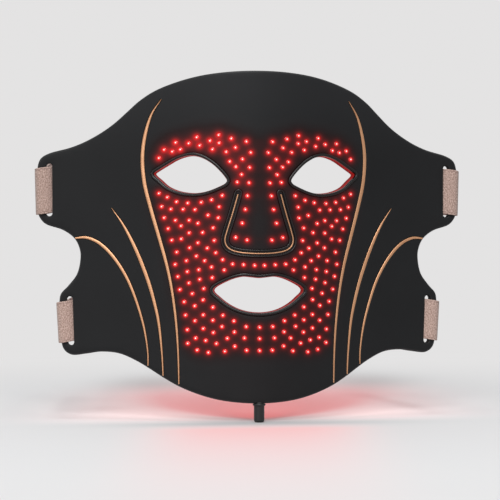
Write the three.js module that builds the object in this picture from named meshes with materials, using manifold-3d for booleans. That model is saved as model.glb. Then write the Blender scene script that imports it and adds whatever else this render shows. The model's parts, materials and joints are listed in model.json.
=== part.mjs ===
// LED face mask: a thin flexible sheet of silicone layers with a lit circuit inside, copper inlays,
// raised rims round the openings, a cable socket at the chin and four elastic head straps.
// Millimetres, +Z up. The outer face looks along -Y and the wearer is on the +Y side. The origin is on
// the skin side, over the bridge of the nose, on the line of the eyes. Left and right are as seen from
// the front, so left is -X.

import * as THREE from 'three';
import { mergeVertices } from 'three/addons/utils/BufferGeometryUtils.js';
import Module from 'manifold-3d';

const wasm = await Module();
wasm.setup();

// Overall size and the bend of the sheet
const HALF_WIDTH = 115;
const FACE_HEIGHT = 176;
const BEND_DEPTH = 38;
const BEND_REACH = 70;
const STRIPS_PER_HALF = 10;
const EDGE_ROOM = 1;

// Layers, from the skin outwards
const SHEET_THICKNESS = 4.2;
const LINER_THICKNESS = 1.2;
const BOARD_THICKNESS = 0.4;
const LAYER_GAP = 0.3;
const FIT_GAP = 0.3;
const OVERRUN = 2;
const WELD = 0.004;

// Flex lines between the face panel and the two wings
const FLEX_LINE_SHARE = 0.713;
const FLEX_GAP = 0.9;

// Lights
const LIGHT_WINDOW = 2.6;
const LIGHT_PACKAGE = 1.8;
const LIGHT_RECESS = 0.6;
const BOARD_HOLE_MARGIN = 2;

// Raised rims
const RIM_WIDTH = 2.1;
const RIM_RISE = 0.9;
const RIM_SHOULDER = 0.5;
const REBATE_DEPTH = 1;
const NOSE_RIM_WIDTH = 4.2;
const NOSE_RIM_RISE = 0.8;
const NOSE_RIM_SHOULDER = 0.4;
const NOSE_CHANNEL_WIDTH = 2;
const NOSE_CHANNEL_DEPTH = 0.9;
const NOSE_INLAY_WIDTH = 0.8;
const NOSE_INLAY_THICKNESS = 0.4;

// Copper inlays
const INLAY_PROUD = 0.1;
const LONG_INLAY_WIDTH = 1.8;
const MIDDLE_INLAY_WIDTH = 1.7;
const SHORT_INLAY_WIDTH = 1.5;

// Strap slots and straps
const SLOT_WIDTH = 3.5;
const SLOT_END_SHARE = 0.5;
const UPPER_STRAP_WIDTH = 25;
const LOWER_STRAP_WIDTH = 22;
const UPPER_RISE_SHARE = 0.1;
const LOOP_ROOM = 0.35;
const LOOP_SIDES = 14;
const LOOP_MOUTH_DEG = 36;
const STRAP_THICKNESS = 1.6;
const LOOP_NECK = 8;
const TAIL_LENGTH = 150;
const TAIL_LEAN_DEG = 6;
const PATCH_LENGTH = 38;
const PATCH_MARGIN = 1.5;
const PATCH_THICKNESS = 1;

// Chin socket
const SOCKET_RADIUS = 2.8;
const SOCKET_MOUTH_RADIUS = 2.2;
const SOCKET_CHAMFER = 0.9;
const SOCKET_DROP = 10;
const SOCKET_BORE_RADIUS = 1.6;
const SOCKET_BORE_DEPTH = 10.6;
const COLLAR_RADIUS = 3.4;
const COLLAR_HEIGHT = 0.9;
const SOCKET_SEAT = 3.6;
const SOCKET_NOTCH_WIDTH = 6.2;
const TONGUE_WIDTH = 9;
const TONGUE_HEIGHT = 5;
const TONGUE_THICKNESS = 1.5;
const SLEEVE_RADIUS = 1.32;
const SLEEVE_WALL = 0.25;
const SLEEVE_RECESS = 1;
const INSULATOR_HEIGHT = 1;
const PIN_RADIUS = 0.4;
const PIN_RECESS = 2;
const BARREL_SIDES = 24;
const BORE_SIDES = 16;
const PIN_SIDES = 8;

// Chin end of the board
const CHIP_SIZE = 4;
const CHIP_THICKNESS = 0.8;
const CHIP_PLACE_SHARES = [0.1043, -0.591];
const RIBBON_WIDTH = 6;

// Outline of the right half, from the top down: shares of half width and of face height
const OUTLINE_SHARES = [
  [0, 0.316], [0.128, 0.313], [0.252, 0.303], [0.356, 0.286], [0.458, 0.26], [0.529, 0.23],
  [0.582, 0.199], [0.644, 0.163], [0.7, 0.137], [0.774, 0.11], [0.846, 0.091], [0.952, 0.072],
  [0.987, 0.058], [1.002, 0.036], [1.001, -0.11], [0.988, -0.129], [0.964, -0.144], [0.881, -0.163],
  [0.828, -0.189], [0.804, -0.223], [0.802, -0.253], [0.818, -0.297], [0.858, -0.332],
  [0.893, -0.357], [0.9, -0.377], [0.889, -0.511], [0.875, -0.531], [0.842, -0.544],
  [0.77, -0.54], [0.705, -0.534], [0.62, -0.539], [0.538, -0.562], [0.482, -0.584],
  [0.416, -0.612], [0.345, -0.638], [0.246, -0.663], [0.147, -0.678], [0, -0.685],
];
const EYE_SHARES = [
  [0.474, 0.008], [0.463, 0.0135], [0.421, 0.031], [0.367, 0.051], [0.312, 0.06], [0.27, 0.055],
  [0.222, 0.037], [0.18, 0.011], [0.158, -0.007], [0.152, -0.015], [0.161, -0.023], [0.173, -0.0275],
  [0.231, -0.0435], [0.272, -0.05], [0.31, -0.051], [0.365, -0.045], [0.413, -0.031], [0.448, -0.01],
  [0.467, 0.001],
];
const MOUTH_HALF_SHARES = [
  [0, -0.308], [0.042, -0.3055], [0.08, -0.304], [0.148, -0.317], [0.211, -0.344], [0.181, -0.366],
  [0.1325, -0.389], [0.0725, -0.405], [0, -0.411],
];
const NOSE_HALF_SHARES = [
  [0.0935, -0.0425], [0.124, -0.114], [0.149, -0.167], [0.158, -0.192], [0.153, -0.208],
  [0.137, -0.22], [0.1, -0.229], [0, -0.234],
];
const NOSE_STEPS = 30;
const OPENING_STEPS = 32;

// The features' shares across are as they look from the front, where the middle of the bent sheet stands
// nearest and looks widest, so they are drawn in, most at the middle line
const DRAW_IN_SHARE = 0.06;
const DRAW_IN_REACH_SHARE = 0.6;

// Centre lines of the inlays, top to bottom, each point with its share of the widest width
const LONG_INLAY_SHARES = [
  [0.442, 0.233, 0.12], [0.485, 0.189, 0.55], [0.513, 0.129, 0.9], [0.526, 0.062, 1],
  [0.518, -0.017, 1], [0.49, -0.096, 0.95], [0.449, -0.193, 0.9], [0.417, -0.272, 0.8],
  [0.394, -0.35, 0.7], [0.376, -0.447, 0.6], [0.367, -0.543, 0.45], [0.364, -0.626, 0.35],
];
const MIDDLE_INLAY_SHARES = [
  [0.665, -0.095, 0.12], [0.613, -0.146, 0.6], [0.555, -0.223, 0.95], [0.499, -0.321, 1],
  [0.469, -0.394, 0.85], [0.454, -0.443, 0.75], [0.439, -0.54, 0.48], [0.434, -0.602, 0.36],
];
const SHORT_INLAY_SHARES = [
  [0.831, -0.187, 0.6], [0.784, -0.185, 0.85], [0.738, -0.1955, 0.95], [0.7, -0.2135, 1],
  [0.66, -0.242, 1], [0.62, -0.28, 0.95], [0.585, -0.324, 0.9], [0.549, -0.388, 0.8],
  [0.519, -0.46, 0.65], [0.502, -0.535, 0.48], [0.501, -0.572, 0.4],
];

// Outline of the lit board's right half, from the top down
const BOARD_SHARES = [
  [0, 0.15], [0.25, 0.15], [0.4, 0.125], [0.485, 0.07], [0.495, -0.02], [0.48, -0.09],
  [0.44, -0.185], [0.41, -0.27], [0.385, -0.35], [0.365, -0.45], [0.35, -0.55], [0.2, -0.56],
  [0.17, -0.612], [0, -0.62],
];

// Ends of the strap slots' centre lines: [top, bottom] of the upper and of the lower slot
const SLOT_SHARES = {
  upper: [[0.948, 0.042], [0.948, -0.12]],
  lower: [[0.852, -0.365], [0.845, -0.515]],
};
const STRAPS = {
  upper: { width: UPPER_STRAP_WIDTH, riseShare: UPPER_RISE_SHARE },
  lower: { width: LOWER_STRAP_WIDTH, riseShare: 0 },
};

// Lights of the right half, row by row
const LIGHT_SHARES = [
  // brow
  [0.285, 0.116], [0.187, 0.122], [0.13, 0.111], [0.061, 0.102], [0.379, 0.101], [0.321, 0.098],
  [0.226, 0.105], [0.185, 0.098], [0.272, 0.091], [0.111, 0.084], [0.43, 0.08], [0.394, 0.074],
  [0.358, 0.08], [0.215, 0.079], [0.153, 0.071], [0.041, 0.069], [0.453, 0.055],
  // bridge of the nose
  [0.079, 0.049], [0.137, 0.042], [0.109, 0.026], [0.046, 0.024], [0.083, 0.003],
  [0.103, -0.02], [0.049, -0.022],
  // under the eye and beside the nose
  [0.171, -0.06], [0.056, -0.061], [0.453, -0.052], [0.416, -0.064], [0.375, -0.078],
  [0.325, -0.082], [0.265, -0.08], [0.219, -0.073], [0.441, -0.092], [0.4, -0.1],
  [0.346, -0.101], [0.293, -0.102], [0.185, -0.094], [0.066, -0.102], [0.235, -0.119],
  [0.189, -0.127], [0.43, -0.126], [0.38, -0.134], [0.319, -0.134], [0.28, -0.143],
  [0.08, -0.143], [0.355, -0.151], [0.212, -0.157], [0.412, -0.159], [0.319, -0.172],
  [0.259, -0.171], [0.396, -0.194], [0.354, -0.19], [0.207, -0.195], [0.11, -0.186],
  [0.058, -0.194], [0.28, -0.202], [0.317, -0.217], [0.238, -0.218],
  // cheek and beside the mouth
  [0.374, -0.23], [0.287, -0.242], [0.2, -0.232], [0.331, -0.256], [0.25, -0.256],
  [0.169, -0.253], [0.124, -0.266], [0.074, -0.268], [0.023, -0.27], [0.381, -0.267],
  [0.219, -0.275], [0.327, -0.289], [0.276, -0.283], [0.162, -0.284], [0.369, -0.304],
  [0.272, -0.312], [0.216, -0.307], [0.32, -0.323], [0.36, -0.343], [0.254, -0.34],
  [0.305, -0.355], [0.341, -0.38], [0.257, -0.374], [0.294, -0.392], [0.213, -0.396],
  // chin
  [0.335, -0.42], [0.256, -0.419], [0.168, -0.42], [0.293, -0.437], [0.213, -0.435],
  [0.118, -0.437], [0.327, -0.464], [0.256, -0.46], [0.172, -0.454], [0.062, -0.454],
  [0.211, -0.472], [0.116, -0.47], [0.29, -0.489], [0.148, -0.489], [0.07, -0.488],
  [0.245, -0.496], [0.325, -0.505], [0.197, -0.505], [0.114, -0.513], [0.283, -0.525],
  [0.159, -0.528], [0.233, -0.532], [0.06, -0.525],
];
const CENTRE_LIGHT_SHARES = [[0, -0.456], [0, -0.49], [0, -0.526]];

// Finishes
const silicone = new THREE.MeshStandardMaterial({ color: 0x1c1d1e, roughness: 0.62, metalness: 0 });
const rimSilicone = new THREE.MeshStandardMaterial({ color: 0x161717, roughness: 0.38, metalness: 0 });
const linerSilicone = new THREE.MeshStandardMaterial({ color: 0x242526, roughness: 0.55, metalness: 0 });
const board = new THREE.MeshStandardMaterial({ color: 0x8c1418, roughness: 0.5, metalness: 0 });
const copper = new THREE.MeshStandardMaterial({ color: 0xd79a66, roughness: 0.35, metalness: 0.9 });
const steel = new THREE.MeshStandardMaterial({ color: 0xc9c9c6, roughness: 0.3, metalness: 1 });
const plastic = new THREE.MeshStandardMaterial({ color: 0x18191a, roughness: 0.45, metalness: 0 });
const knit = new THREE.MeshStandardMaterial({ color: 0xb8998c, roughness: 0.95, metalness: 0 });
const patchFabric = new THREE.MeshStandardMaterial({ color: 0xa58a7e, roughness: 1, metalness: 0 });

// Levels above the skin side
const boardBack = LINER_THICKNESS + LAYER_GAP;
const boardFront = boardBack + BOARD_THICKNESS;
const pocketFront = boardFront + LAYER_GAP;
const rebateFloor = SHEET_THICKNESS - REBATE_DEPTH;
const lightFront = SHEET_THICKNESS - LIGHT_RECESS;
const chipFront = boardFront + LAYER_GAP + CHIP_THICKNESS;

// Plan places: the plan's first axis runs along X and its second up the sheet
const place = ([across, up]) => new THREE.Vector2(across * HALF_WIDTH, up * FACE_HEIGHT);
const drawnIn = (across) => across * (1 - DRAW_IN_SHARE * Math.exp(-((across / DRAW_IN_REACH_SHARE) ** 2)));
const placeFeature = ([across, up]) => place([drawnIn(across), up]);
const mirrored = (point) => new THREE.Vector2(-point.x, point.y);

function mirroredRing(right) {
  const left = right.slice(1, -1).reverse().map(mirrored);
  return [...right, ...left];
}

// The ring or path on the side asked for, turned round where mirroring would reverse it
function onSide(points, side) {
  return side > 0 ? points : points.map(mirrored).reverse();
}

function smooth(points, closed, steps) {
  const knots = points.map((p) => new THREE.Vector3(p.x, p.y, 0));
  const curve = new THREE.CatmullRomCurve3(knots, closed, 'centripetal');
  const taken = curve.getSpacedPoints(steps).map((p) => new THREE.Vector2(p.x, p.y));
  return closed ? taken.slice(0, -1) : taken;
}

// The unit normals of a path, to the right of its direction
function pathNormals(points, closed) {
  const count = points.length;
  return points.map((point, i) => {
    const before = points[closed ? (i + count - 1) % count : Math.max(i - 1, 0)];
    const after = points[closed ? (i + 1) % count : Math.min(i + 1, count - 1)];
    const along = after.clone().sub(before).normalize();
    return new THREE.Vector2(along.y, -along.x);
  });
}

// A ring moved outwards by a distance
function grown(ring, distance) {
  const turn = THREE.ShapeUtils.isClockWise(ring) ? -1 : 1;
  const normals = pathNormals(ring, true);
  return ring.map((point, i) => point.clone().addScaledVector(normals[i], turn * distance));
}

// The ring round a path that is as wide at each point as its half width says
function ribbonRing(path, halfWidths) {
  const normals = pathNormals(path, false);
  const right = path.map((p, i) => p.clone().addScaledVector(normals[i], halfWidths[i]));
  const left = path.map((p, i) => p.clone().addScaledVector(normals[i], -halfWidths[i]));
  return [...right, ...left.reverse()];
}

function boxRing(x0, x1, y0, y1) {
  return [[x0, y0], [x1, y0], [x1, y1], [x0, y1]].map(([x, y]) => new THREE.Vector2(x, y));
}

// Solids: a closed geometry becomes a solid that can be joined and cut
function asSolid(geometry) {
  const bare = geometry.clone();
  bare.deleteAttribute('normal');
  bare.deleteAttribute('uv');
  const merged = mergeVertices(bare, WELD);
  const vertProperties = Float32Array.from(merged.attributes.position.array);
  const triVerts = Uint32Array.from(merged.index.array);
  return new wasm.Manifold(new wasm.Mesh({ numProp: 3, vertProperties, triVerts }));
}

function asGeometry(solid) {
  const mesh = solid.getMesh();
  const geometry = new THREE.BufferGeometry();
  geometry.setAttribute('position', new THREE.BufferAttribute(Float32Array.from(mesh.vertProperties), 3));
  geometry.setIndex(new THREE.BufferAttribute(Uint32Array.from(mesh.triVerts), 1));
  return geometry;
}

// An upright prism over a plan ring, between two levels above the skin side
function prism(ring, back, front, holes = []) {
  const shape = new THREE.Shape(ring);
  shape.holes = holes.map((hole) => new THREE.Path(hole));
  const geometry = new THREE.ExtrudeGeometry(shape, { depth: front - back, bevelEnabled: false });
  geometry.translate(0, 0, back);
  return asSolid(geometry);
}

// A bead: a section of [distance to the path's right, level] pairs, counter-clockwise, carried along it
function bead(path, section, closed) {
  const normals = pathNormals(path, closed);
  const count = path.length;
  const size = section.length;
  const positions = [];
  const index = [];
  path.forEach((point, i) => section.forEach(([away, level]) => {
    const at = point.clone().addScaledVector(normals[i], away);
    positions.push(at.x, at.y, level);
  }));
  const spans = closed ? count : count - 1;
  for (let i = 0; i < spans; i += 1) {
    const here = i * size;
    const next = ((i + 1) % count) * size;
    for (let j = 0; j < size; j += 1) {
      const k = (j + 1) % size;
      index.push(here + j, next + k, here + k, here + j, next + j, next + k);
    }
  }
  if (!closed) {
    const flat = section.map(([away, level]) => new THREE.Vector2(away, level));
    const last = (count - 1) * size;
    THREE.ShapeUtils.triangulateShape(flat, []).forEach(([a, b, c]) => {
      index.push(a, b, c, last + a, last + c, last + b);
    });
  }
  const geometry = new THREE.BufferGeometry();
  geometry.setAttribute('position', new THREE.Float32BufferAttribute(positions, 3));
  geometry.setIndex(index);
  return asSolid(geometry);
}

// Lights
const lightPlaces = [
  ...LIGHT_SHARES.map(placeFeature),
  ...LIGHT_SHARES.map(placeFeature).map(mirrored),
  ...CENTRE_LIGHT_SHARES.map(placeFeature),
];

// The bend: the flat sheet is drawn back towards the wearer on both sides of the nose. It is bent along
// upright lines, each moved clear of the walls that run along it.
const wallWidths = [
  LIGHT_WINDOW, LIGHT_PACKAGE, SOCKET_NOTCH_WIDTH, TONGUE_WIDTH, TONGUE_WIDTH + 2 * FIT_GAP,
  RIBBON_WIDTH, RIBBON_WIDTH + 2 * FIT_GAP,
];
const wallMiddles = [...new Set(lightPlaces.map((at) => Math.abs(at.x)))];
const flexLine = FLEX_LINE_SHARE * HALF_WIDTH;
const chipPlace = place(CHIP_PLACE_SHARES);
const walls = [-1, 1].flatMap((way) => [
  ...wallMiddles.flatMap((x) => wallWidths.map((width) => x + way * width / 2)),
  flexLine + way * FLEX_GAP / 2,
  ...[0, FIT_GAP].map((room) => chipPlace.x + way * (CHIP_SIZE / 2 + room)),
]);
const nudge = 4 * WELD;

function clearOfWalls(x) {
  let line = Math.abs(x);
  while (walls.some((wall) => Math.abs(wall - line) < nudge)) line += nudge;
  return Math.sign(x) * line;
}

const stripLines = [];
for (let i = -STRIPS_PER_HALF; i <= STRIPS_PER_HALF; i += 1) {
  stripLines.push(clearOfWalls((i / STRIPS_PER_HALF) * (HALF_WIDTH + EDGE_ROOM)));
}

const bendBack = (x) => BEND_DEPTH * (1 - Math.exp(-((x / BEND_REACH) ** 2)));

function bendFrame(x) {
  const slope = (2 * x / BEND_REACH ** 2) * (BEND_DEPTH - bendBack(x));
  const normal = new THREE.Vector2(slope, -1).normalize();
  return { base: new THREE.Vector2(x, bendBack(x)), normal };
}

const stripFrames = stripLines.map(bendFrame);

// The bent place of a flat point; each strip between two lines stays flat
function bentPoint(x, up, level) {
  const next = stripLines.findIndex((line, i) => i > 0 && (x <= line || i === stripLines.length - 1));
  const share = (x - stripLines[next - 1]) / (stripLines[next] - stripLines[next - 1]);
  const base = stripFrames[next - 1].base.clone().lerp(stripFrames[next].base, share);
  const normal = stripFrames[next - 1].normal.clone().lerp(stripFrames[next].normal, share);
  return new THREE.Vector3(base.x + normal.x * level, base.y + normal.y * level, up);
}

// The point's number in the list, the same for points closer together than the weld
function welded(point, points, cells) {
  const cell = (value) => Math.round(value / WELD);
  const steps = [0, -1, 1];
  for (const i of steps) {
    for (const j of steps) {
      for (const k of steps) {
        const found = cells.get(`${cell(point.x) + i} ${cell(point.y) + j} ${cell(point.z) + k}`);
        if (found !== undefined) return found;
      }
    }
  }
  cells.set(`${cell(point.x)} ${cell(point.y)} ${cell(point.z)}`, points.length);
  points.push(point);
  return points.length - 1;
}

// The space between two strip lines: a wide three-sided bar along the plan's first axis
function stripSpace(from, to) {
  const tall = 2 * FACE_HEIGHT;
  const corners = [[-tall, -tall], [tall, -tall], [0, tall]];
  const shape = new THREE.Shape(corners.map(([a, b]) => new THREE.Vector2(a, b)));
  const bar = new THREE.ExtrudeGeometry(shape, { depth: to - from, bevelEnabled: false });
  const axes = [[0, 1, 0], [0, 0, 1], [1, 0, 0]].map((axis) => new THREE.Vector3(...axis));
  bar.applyMatrix4(new THREE.Matrix4().makeBasis(...axes)).translate(from, 0, 0);
  return asSolid(bar);
}

// The triangles of the part of a solid between two strip lines, without the two cut faces
function stripTriangles(solid, lines, points, cells) {
  const mesh = solid.intersect(stripSpace(...lines)).getMesh();
  const numbers = [];
  for (let n = 0; n < mesh.vertProperties.length; n += mesh.numProp) {
    const point = new THREE.Vector3().fromArray(mesh.vertProperties, n);
    const line = lines.find((x) => Math.abs(point.x - x) < WELD);
    if (line !== undefined) point.setX(line);
    numbers.push(welded(point, points, cells));
  }
  const triangles = [];
  for (let n = 0; n < mesh.triVerts.length; n += 3) {
    const triangle = [0, 1, 2].map((m) => numbers[mesh.triVerts[n + m]]);
    const onCut = lines.some((line) => triangle.every((m) => points[m].x === line));
    if (!onCut && new Set(triangle).size === 3) triangles.push(triangle);
  }
  return triangles;
}

// The points of a strip line that lie inside an edge along it, in the edge's order
function pointsInside(from, to, onLine, points) {
  const edge = points[to].clone().sub(points[from]);
  const length = edge.length();
  edge.divideScalar(length);
  const along = (n) => points[n].clone().sub(points[from]).dot(edge);
  const away = (n) => points[n].distanceTo(points[from].clone().addScaledVector(edge, along(n)));
  const inside = onLine.filter((n) => along(n) > WELD && along(n) < length - WELD && away(n) < WELD);
  return inside.sort((a, b) => along(a) - along(b));
}

// A triangle parted at the points that lie inside its edge along a strip line, if it has such an edge
function parted(triangle, pointsOnLine, points) {
  for (let m = 0; m < 3; m += 1) {
    const [from, to, far] = [0, 1, 2].map((step) => triangle[(m + step) % 3]);
    const onLine = points[from].x === points[to].x && pointsOnLine.get(points[from].x);
    const inside = onLine ? pointsInside(from, to, onLine, points) : [];
    if (inside.length) {
      const stops = [from, ...inside, to];
      return stops.slice(1).map((stop, i) => [stops[i], stop, far]);
    }
  }
  return [triangle];
}

// A flat solid bent with the sheet: cut at the strip lines, joined up again, and bent
function bent(solid) {
  const points = [];
  const cells = new Map();
  const triangles = [];
  for (let i = 0; i + 1 < stripLines.length; i += 1) {
    triangles.push(...stripTriangles(solid, [stripLines[i], stripLines[i + 1]], points, cells));
  }
  const numbers = points.map((_, n) => n);
  const pointsOnLine = new Map(stripLines.map((line) => [line, numbers.filter((n) => points[n].x === line)]));
  const places = points.flatMap((p) => bentPoint(p.x, p.y, p.z).toArray());
  const geometry = new THREE.BufferGeometry();
  geometry.setAttribute('position', new THREE.Float32BufferAttribute(places, 3));
  geometry.setIndex(triangles.flatMap((triangle) => parted(triangle, pointsOnLine, points)).flat());
  return geometry;
}

const mask = new THREE.Group();

function addMesh(name, geometry, material, parent = mask) {
  geometry.computeVertexNormals();
  const mesh = new THREE.Mesh(geometry, material);
  mesh.name = name;
  parent.add(mesh);
  return mesh;
}

const sides = [['left', -1], ['right', 1]];

// Plan rings that more than one layer follows
const outlineRing = mirroredRing(OUTLINE_SHARES.map(place));
const eyeRing = smooth(EYE_SHARES.map(placeFeature), true, OPENING_STEPS);
const eyeRings = { left: onSide(eyeRing, -1), right: onSide(eyeRing, 1) };
const mouthRing = smooth(mirroredRing(MOUTH_HALF_SHARES.map(placeFeature)), true, OPENING_STEPS);
const noseHalf = NOSE_HALF_SHARES.map(placeFeature);
const nosePath = smooth([...noseHalf, ...noseHalf.slice(0, -1).reverse().map(mirrored)], false, NOSE_STEPS);
const chinEdge = place(OUTLINE_SHARES[OUTLINE_SHARES.length - 1]).y;
const socketTop = chinEdge + SOCKET_SEAT;

// Regions that part the sheet into the face panel and the wings
const reach = HALF_WIDTH + OVERRUN;
const flexEdge = FLEX_GAP / 2;
const regionLevels = [-OVERRUN, SHEET_THICKNESS + OVERRUN];

function region(x0, x1) {
  return prism(boxRing(x0, x1, -FACE_HEIGHT, FACE_HEIGHT), ...regionLevels);
}

const regions = {
  face: region(-flexLine + flexEdge, flexLine - flexEdge),
  left: region(-reach, -flexLine - flexEdge),
  right: region(flexLine + flexEdge, reach),
};

// Inlays
function inlayPath(shares) {
  return { points: shares.map(placeFeature), widthShares: shares.map((share) => share[2]) };
}

const inlayKinds = {
  long: { ...inlayPath(LONG_INLAY_SHARES), width: LONG_INLAY_WIDTH },
  middle: { ...inlayPath(MIDDLE_INLAY_SHARES), width: MIDDLE_INLAY_WIDTH },
  short: { ...inlayPath(SHORT_INLAY_SHARES), width: SHORT_INLAY_WIDTH },
};

function inlayRing(kind, side, room) {
  const { points, widthShares, width } = inlayKinds[kind];
  const path = points.map((point) => point.clone());
  if (room > 0) {
    const last = path.length - 1;
    const tail = path[last].clone().sub(path[last - 1]).setLength(OVERRUN);
    path[last].add(tail);
    if (kind === 'short') path[0].add(path[0].clone().sub(path[1]).setLength(OVERRUN));
  }
  const halfWidths = widthShares.map((share) => share * width / 2 + room);
  return onSide(ribbonRing(path, halfWidths), side);
}

function inlaySolid(kind, side) {
  return prism(inlayRing(kind, side, 0), rebateFloor + FIT_GAP, SHEET_THICKNESS + INLAY_PROUD);
}

function inlayGroove(kind, side) {
  return prism(inlayRing(kind, side, FIT_GAP), rebateFloor, SHEET_THICKNESS + OVERRUN);
}

// One solid of equal square posts, one at each light
function lightPosts(width, back, front) {
  const positions = [];
  const post = new THREE.BoxGeometry(width, width, front - back);
  const flat = post.toNonIndexed().attributes.position;
  lightPlaces.forEach((at) => {
    for (let i = 0; i < flat.count; i += 1) {
      positions.push(flat.getX(i) + at.x, flat.getY(i) + at.y, flat.getZ(i) + (front + back) / 2);
    }
  });
  const geometry = new THREE.BufferGeometry();
  geometry.setAttribute('position', new THREE.Float32BufferAttribute(positions, 3));
  return asSolid(geometry);
}

// Strap slots
function slotEnds(level) {
  return SLOT_SHARES[level].map(place);
}

function slotRing(level, side) {
  const [top, bottom] = slotEnds(level);
  const along = top.clone().sub(bottom).normalize();
  const across = new THREE.Vector2(along.y, -along.x);
  const half = SLOT_WIDTH / 2;
  const inset = half * SLOT_END_SHARE;
  const corner = (end, away, aside) => {
    return end.clone().addScaledVector(along, away).addScaledVector(across, aside);
  };
  const ring = [
    corner(bottom, half, -half), corner(bottom, 0, -inset), corner(bottom, 0, inset),
    corner(bottom, half, half), corner(top, -half, half), corner(top, 0, inset),
    corner(top, 0, -inset), corner(top, -half, -half),
  ];
  return onSide(ring, side);
}

// Sheet layers
function openingCuts(back, front) {
  const cut = (ring) => prism(ring, back - OVERRUN, front + OVERRUN);
  return cut(eyeRings.left).add(cut(eyeRings.right)).add(cut(mouthRing));
}

function slotCuts(side) {
  const cut = (level) => prism(slotRing(level, side), ...regionLevels);
  return cut('upper').add(cut('lower'));
}

function socketNotch() {
  const half = SOCKET_NOTCH_WIDTH / 2;
  const ring = boxRing(-half, half, chinEdge - OVERRUN, socketTop + FIT_GAP);
  return prism(ring, ...regionLevels);
}

function tonguePocket() {
  const half = TONGUE_WIDTH / 2 + FIT_GAP;
  const ring = boxRing(-half, half, socketTop - 2 * FIT_GAP, socketTop + TONGUE_HEIGHT + FIT_GAP);
  return prism(ring, boardBack - OVERRUN, boardBack + TONGUE_THICKNESS + FIT_GAP);
}

function boardRing() {
  return mirroredRing(BOARD_SHARES.map(place));
}

function boardPocket() {
  const pocket = prism(grown(boardRing(), FIT_GAP), boardBack - OVERRUN, pocketFront);
  const island = (ring) => prism(grown(ring, BOARD_HOLE_MARGIN - FIT_GAP), 0, SHEET_THICKNESS);
  return pocket.subtract(island(eyeRings.left)).subtract(island(eyeRings.right)).subtract(island(mouthRing));
}

function ribbonPocket() {
  const half = RIBBON_WIDTH / 2 + FIT_GAP;
  const ring = boxRing(-half, half, socketTop, boardBottom() + OVERRUN);
  return prism(ring, boardBack - OVERRUN, pocketFront);
}

function boardBottom() {
  return place(BOARD_SHARES[BOARD_SHARES.length - 1]).y;
}

function chipRing(side, room) {
  const half = CHIP_SIZE / 2 + room;
  const middle = side * chipPlace.x;
  return boxRing(middle - half, middle + half, chipPlace.y - half, chipPlace.y + half);
}

function chipPocket(side) {
  return prism(chipRing(side, FIT_GAP), boardBack, chipFront + FIT_GAP);
}

function rimRebate(ring) {
  return prism(grown(ring, RIM_WIDTH + FIT_GAP), rebateFloor, SHEET_THICKNESS + OVERRUN);
}

function noseGroove() {
  const halfWidths = nosePath.map(() => NOSE_RIM_WIDTH / 2 + FIT_GAP);
  const first = nosePath[0].clone().sub(nosePath[1]).setLength(FIT_GAP);
  const last = first.clone().setX(-first.x);
  const path = nosePath.map((point) => point.clone());
  path[0].add(first);
  path[path.length - 1].add(last);
  return prism(ribbonRing(path, halfWidths), rebateFloor, SHEET_THICKNESS + OVERRUN);
}

function makeFaceShell() {
  const sheet = prism(outlineRing, boardBack, SHEET_THICKNESS).intersect(regions.face);
  const grooves = sides.flatMap(([, side]) => Object.keys(inlayKinds).map((kind) => inlayGroove(kind, side)));
  const cuts = [
    openingCuts(boardBack, SHEET_THICKNESS), boardPocket(), ribbonPocket(), socketNotch(), tonguePocket(),
    chipPocket(-1), chipPocket(1), rimRebate(eyeRings.left), rimRebate(eyeRings.right),
    rimRebate(mouthRing), noseGroove(), ...grooves,
    lightPosts(LIGHT_WINDOW, boardFront, SHEET_THICKNESS + OVERRUN),
  ];
  const shell = cuts.reduce((solid, cut) => solid.subtract(cut), sheet);
  addMesh('face_shell', bent(shell), silicone);
}

function makeFaceLiner() {
  const sheet = prism(outlineRing, 0, LINER_THICKNESS).intersect(regions.face);
  const liner = sheet.subtract(openingCuts(0, LINER_THICKNESS)).subtract(socketNotch());
  addMesh('face_liner', bent(liner), linerSilicone);
}

function makeWing(name, side) {
  const slots = slotCuts(side);
  const shell = prism(outlineRing, boardBack, SHEET_THICKNESS).intersect(regions[name]);
  const groove = inlayGroove('short', side);
  addMesh(`${name}_wing_shell`, bent(shell.subtract(slots).subtract(groove)), silicone);
  const liner = prism(outlineRing, 0, LINER_THICKNESS).intersect(regions[name]);
  addMesh(`${name}_wing_liner`, bent(liner.subtract(slots)), linerSilicone);
}

function makeBoard() {
  const hole = (ring) => prism(grown(ring, BOARD_HOLE_MARGIN), 0, SHEET_THICKNESS);
  const slab = prism(boardRing(), boardBack, boardFront);
  const open = slab.subtract(hole(eyeRings.left)).subtract(hole(eyeRings.right)).subtract(hole(mouthRing));
  const embed = boardBack + BOARD_THICKNESS / 2;
  addMesh('light_board', bent(open.add(lightPosts(LIGHT_PACKAGE, embed, lightFront))), board);
}

function makeChips() {
  sides.forEach(([name, side]) => {
    const chip = prism(chipRing(side, 0), boardFront + LAYER_GAP, chipFront);
    addMesh(`${name}_driver_chip`, bent(chip), plastic);
  });
}

function makeRibbon() {
  const half = RIBBON_WIDTH / 2;
  const foot = socketTop + TONGUE_HEIGHT + FIT_GAP;
  const ribbon = prism(boxRing(-half, half, foot, boardBottom() - FIT_GAP), boardBack, boardFront);
  addMesh('board_ribbon', bent(ribbon), board);
}

function rimSection() {
  const foot = rebateFloor + FIT_GAP;
  const top = SHEET_THICKNESS + RIM_RISE;
  const shoulder = top - RIM_SHOULDER;
  return [
    [0, foot], [RIM_WIDTH, foot], [RIM_WIDTH, shoulder], [RIM_WIDTH - RIM_SHOULDER, top],
    [RIM_SHOULDER, top], [0, shoulder],
  ];
}

// A rim stands on the outside of its opening's ring, whichever way round the ring runs
function addRim(name, ring) {
  const outward = THREE.ShapeUtils.isClockWise(ring) ? [...ring].reverse() : ring;
  addMesh(name, bent(bead(outward, rimSection(), true)), rimSilicone);
}

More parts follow.
